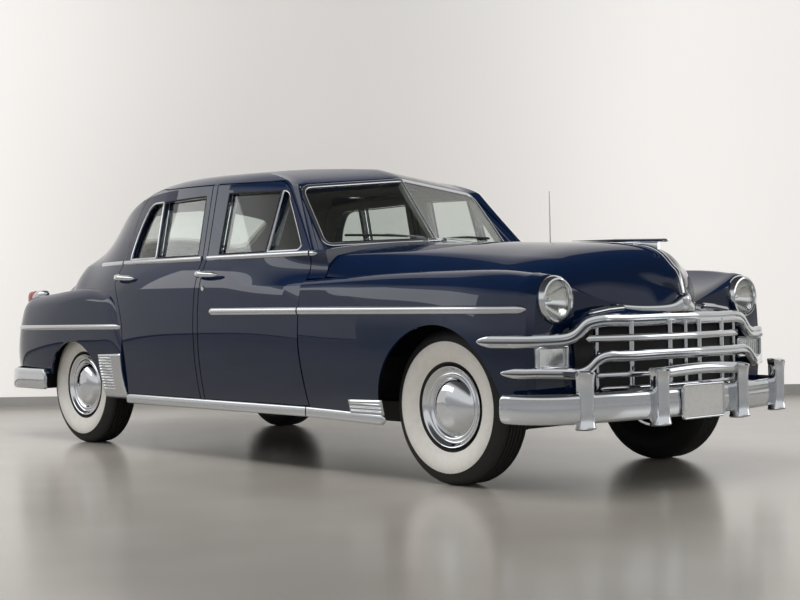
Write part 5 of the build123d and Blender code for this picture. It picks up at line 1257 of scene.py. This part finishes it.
# %% Seats
# Grey wool cloth: a close weave with a soft nap, drawn at 5 mm so that it shows.
wool = grained("grey_wool_cloth", 5, ("#6f6b66", "#625e59", "#7c7872"), None, 0.25, Roughness=0.95,
               Sheen_Weight=0.3)


def bench(profile, half_width, pleat):
    """A pleated cushion: a side outline carried across, drawn in at its ends, swelling between seams."""
    y = np.linspace(-half_width, half_width, 161)
    s = np.abs(y) / half_width
    centre = profile.mean(0)
    shrink = 1 - 0.10 * s ** 10
    swell = 7 * np.abs(np.sin(math.pi * y / pleat)) ** 0.6
    out = unit(profile - centre)
    ring = centre + (profile - centre) * shrink[:, None, None] + out * (swell - 8)[:, None, None]
    across = np.broadcast_to(y[:, None], ring.shape[:2])
    return closed_mesh(np.stack([ring[:, :, 0], across, ring[:, :, 1]], 2))


x = FRONT_AXLE - 1600
front_cushion = trace((x - 20, 420), (x, 560), ((x - 12, 616), (x - 90, 640)), (x - 400, 606),
                      ((x - 440, 560), (x - 430, 430)))
front_back = trace((x - 400, 590), ((x - 455, 830), (x - 530, 1030)), ((x - 570, 1066), (x - 616, 1036)),
                   ((x - 585, 760), (x - 570, 480)), (x - 440, 470))
front_base = trace((x - 40, 352), (x - 40, 430), (x - 560, 480), (x - 565, 352))
x = REAR_AXLE + 900
rear_cushion = trace((x - 20, 420), (x - 5, 560), ((x - 22, 608), (x - 90, 630)), (x - 440, 598),
                     ((x - 480, 560), (x - 400, 480)))
rear_back = trace((x - 440, 596), ((x - 520, 800), (x - 592, 968)), ((x - 625, 1002), (x - 672, 990)),
                  ((x - 700, 800), (x - 712, 600)), (x - 600, 600))
for end, cushion, backrest, half_width in (("front", front_cushion, front_back, 715),
                                           ("rear", rear_cushion, rear_back, 585)):
    for name, profile in (("cushion", cushion), ("backrest", backrest)):
        pad = piece(f"{end}_{name}", bench(profile, half_width, 110), wool, "body", f"{end}_seat", angle=70)
piece("front_seat_base", prism(front_base, -640, 640), chassis_black, "body", "front_seat")
STEER_AXIS, STEER_HUB = np.array([-0.739628, 0, 0.673016]), np.array([383.432, 370, 1045.08])
circle = disc(212, 96)
rim_path = STEER_HUB + circle[:, :1] * (0, 1.0, 0) + circle[:, 1:] * np.cross(STEER_AXIS, (0, 1.0, 0))
piece("steering_rim", sweep(rim_path, disc(12, 14), STEER_AXIS, wrap=True), ivory, "steering_wheel")
BLACK_NODES = ("frame", "front_suspension", "rear_axle", "propeller_shaft", "fuel_tank", "radiator", "floor",
               "knuckle_right", "knuckle_left")
for nodes, material in ((BLACK_NODES, chassis_black), (("exhaust",), stainless), (("engine",), cast_iron),
                        (("dashboard",), dash_paint), (("steering_wheel",), ivory), (("nose_panel",), navy)):
    for slot in [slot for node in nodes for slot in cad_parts[node].material_slots]:
        slot.material = material
print("cabin and chassis done")

# %% [markdown]
# Studio. A pale concrete floor, a white wall and large soft lamps, so the dark paint shows long calm
# reflections. A plain white room would leave the plating flat, so the air has a bright band above eye level
# and a dark ceiling.

# %% Floor, wall and lights
floor_paint, tree, shader = finish("sealed_concrete", "#aca79e", Roughness=0.2)
mottle(tree, shader, 1400, ("#a6a198", "#b2ada5"), rough=(0.17, 0.24), detail=2.0)
wall_paint, tree, shader = finish("studio_wall", "#d6d3d0", Roughness=0.8)
mottle(tree, shader, 2200, ("#d4d1ce", "#d9d6d3"), detail=1.0)
skirting, skirt_tree, skirt_shader = finish("grey_skirting", "#a6a4a1", Roughness=0.5)
mottle(skirt_tree, skirt_shader, 300, ("#a2a09d", "#aaa8a5"))
# The wall is paler to both ends, as if washed by lamps out of the picture; only the eye, plating and glass
# see that.
place = add(tree, "ShaderNodeTexCoord")
turn = add(tree, "ShaderNodeMapping", {0: place.outputs["Object"]}, Rotation=(0, 0, -AZIMUTH),
           Location=(0.5, 0, 0))
split = add(tree, "ShaderNodeSeparateXYZ", {0: turn.outputs[0]})
ends = add(tree, "ShaderNodeMath", {0: split.outputs["X"]}, operation="ABSOLUTE")
wash = add(tree, "ShaderNodeMapRange", {"Value": ends.outputs[0]}, interpolation_type="SMOOTHSTEP",
           From_Min=0.3, From_Max=3.6, To_Min=0.11, To_Max=0.48)
eye = add(tree, "ShaderNodeLightPath")
seen = eye.outputs["Is Camera Ray"]
for ray in ("Is Glossy Ray", "Is Transmission Ray"):
    seen = add(tree, "ShaderNodeMath", {0: seen, 1: eye.outputs[ray]}, operation="MAXIMUM").outputs[0]
glow = add(tree, "ShaderNodeMath", {0: seen, 1: wash.outputs[0]}, operation="MULTIPLY")
tree.links.new(glow.outputs[0], shader.inputs["Emission Strength"])
shader.inputs["Emission Color"].default_value = linear("#fbf9f6")
# Wall and skirting are one-sided, so the car can be seen from behind too.
for nodes, face in ((tree, shader), (skirt_tree, skirt_shader)):
    side = add(nodes, "ShaderNodeNewGeometry").outputs["Backfacing"]
    clear = add(nodes, "ShaderNodeBsdfTransparent")
    mix = add(nodes, "ShaderNodeMixShader", {0: side, 1: face.outputs[0], 2: clear.outputs[0]})
    nodes.links.new(mix.outputs[0], nodes.nodes["Material Output"].inputs["Surface"])
ROOM, WALL_AWAY, WALL_TOP, SKIRT_TOP, SKIRT_THICK = 40, 12.8, 8.0, 0.08, 0.015
level = back * (1, 1, 0)
foot = np.array([*EYE[:2], 0]) - level * WALL_AWAY
along = np.array([math.cos(AZIMUTH), math.sin(AZIMUTH), 0]) * ROOM


def upright(at, high):
    """Corners of an upright sheet through a point, from just under the floor up to a height."""
    return [at + end * along + (0, 0, z) for end, z in ((-1, -0.01), (1, -0.01), (1, high), (-1, high))]


for name, corners, material in (
        ("studio_floor", [(-ROOM, -ROOM, 0), (ROOM, -ROOM, 0), (ROOM, ROOM, 0), (-ROOM, ROOM, 0)],
         floor_paint),
        ("studio_skirting", upright(foot + level * SKIRT_THICK, SKIRT_TOP), skirting),
        ("studio_wall", upright(foot, WALL_TOP), wall_paint)):
    mesh = bpy.data.meshes.new(name)
    mesh.from_pydata(corners, [], [(0, 1, 2, 3)])
    mesh.materials.append(material)
    obj = bpy.data.objects.new(name, mesh)
    bpy.context.collection.objects.link(obj)
LAMPS = (  # name, place, aimed at, width, height, watts, seen in reflections
    ("overhead_bank", (0.5, -1.8, 5.6), (0.2, 0, 0.5), 7.0, 3.4, 330, False),
    ("front_bank", (8.0, 5.4, 2.4), (2.2, 0, 0.6), 4.5, 3.0, 60, True),
    ("side_bank", (-6.5, -6.8, 3.9), (-0.5, -0.9, 0.8), 6.0, 2.0, 60, True),
)
for name, place, aim, width, height, watts, mirrored in LAMPS:
    light = bpy.data.lights.new(name, "AREA")
    light.shape, light.size, light.size_y, light.energy = "RECTANGLE", width, height, watts
    obj = bpy.data.objects.new(name, light)
    obj.visible_glossy = mirrored
    away = unit(np.subtract(place, aim))
    across = unit(np.cross((0, 0, 1), away))
    obj.matrix_world = placed(across, np.cross(away, across), away, place)
    bpy.context.collection.objects.link(obj)
world = bpy.data.worlds.new("studio_air")
bpy.context.scene.world = world
world.use_nodes = True
# The room: grey at eye level, a bright band of lit walls above it and a dark ceiling, which the plating
# mirrors.
tree = world.node_tree
place = add(tree, "ShaderNodeTexCoord")
split = add(tree, "ShaderNodeSeparateXYZ", {0: place.outputs["Generated"]})
room = add(tree, "ShaderNodeValToRGB", {"Fac": split.outputs["Z"]})
for position, grey in ((0.05, 0.5), (0.14, 0.95), (0.42, 0.95), (0.6, 0.12)):
    room.color_ramp.elements.new(position).color = (grey, grey, grey, 1)
room.color_ramp.elements[0].color = (0.45, 0.45, 0.45, 1)
room.color_ramp.elements[-1].color = (0.06, 0.06, 0.06, 1)
tree.links.new(room.outputs["Color"], tree.nodes["Background"].inputs["Color"])
tree.nodes["Background"].inputs["Strength"].default_value = 0.85

print("studio done")
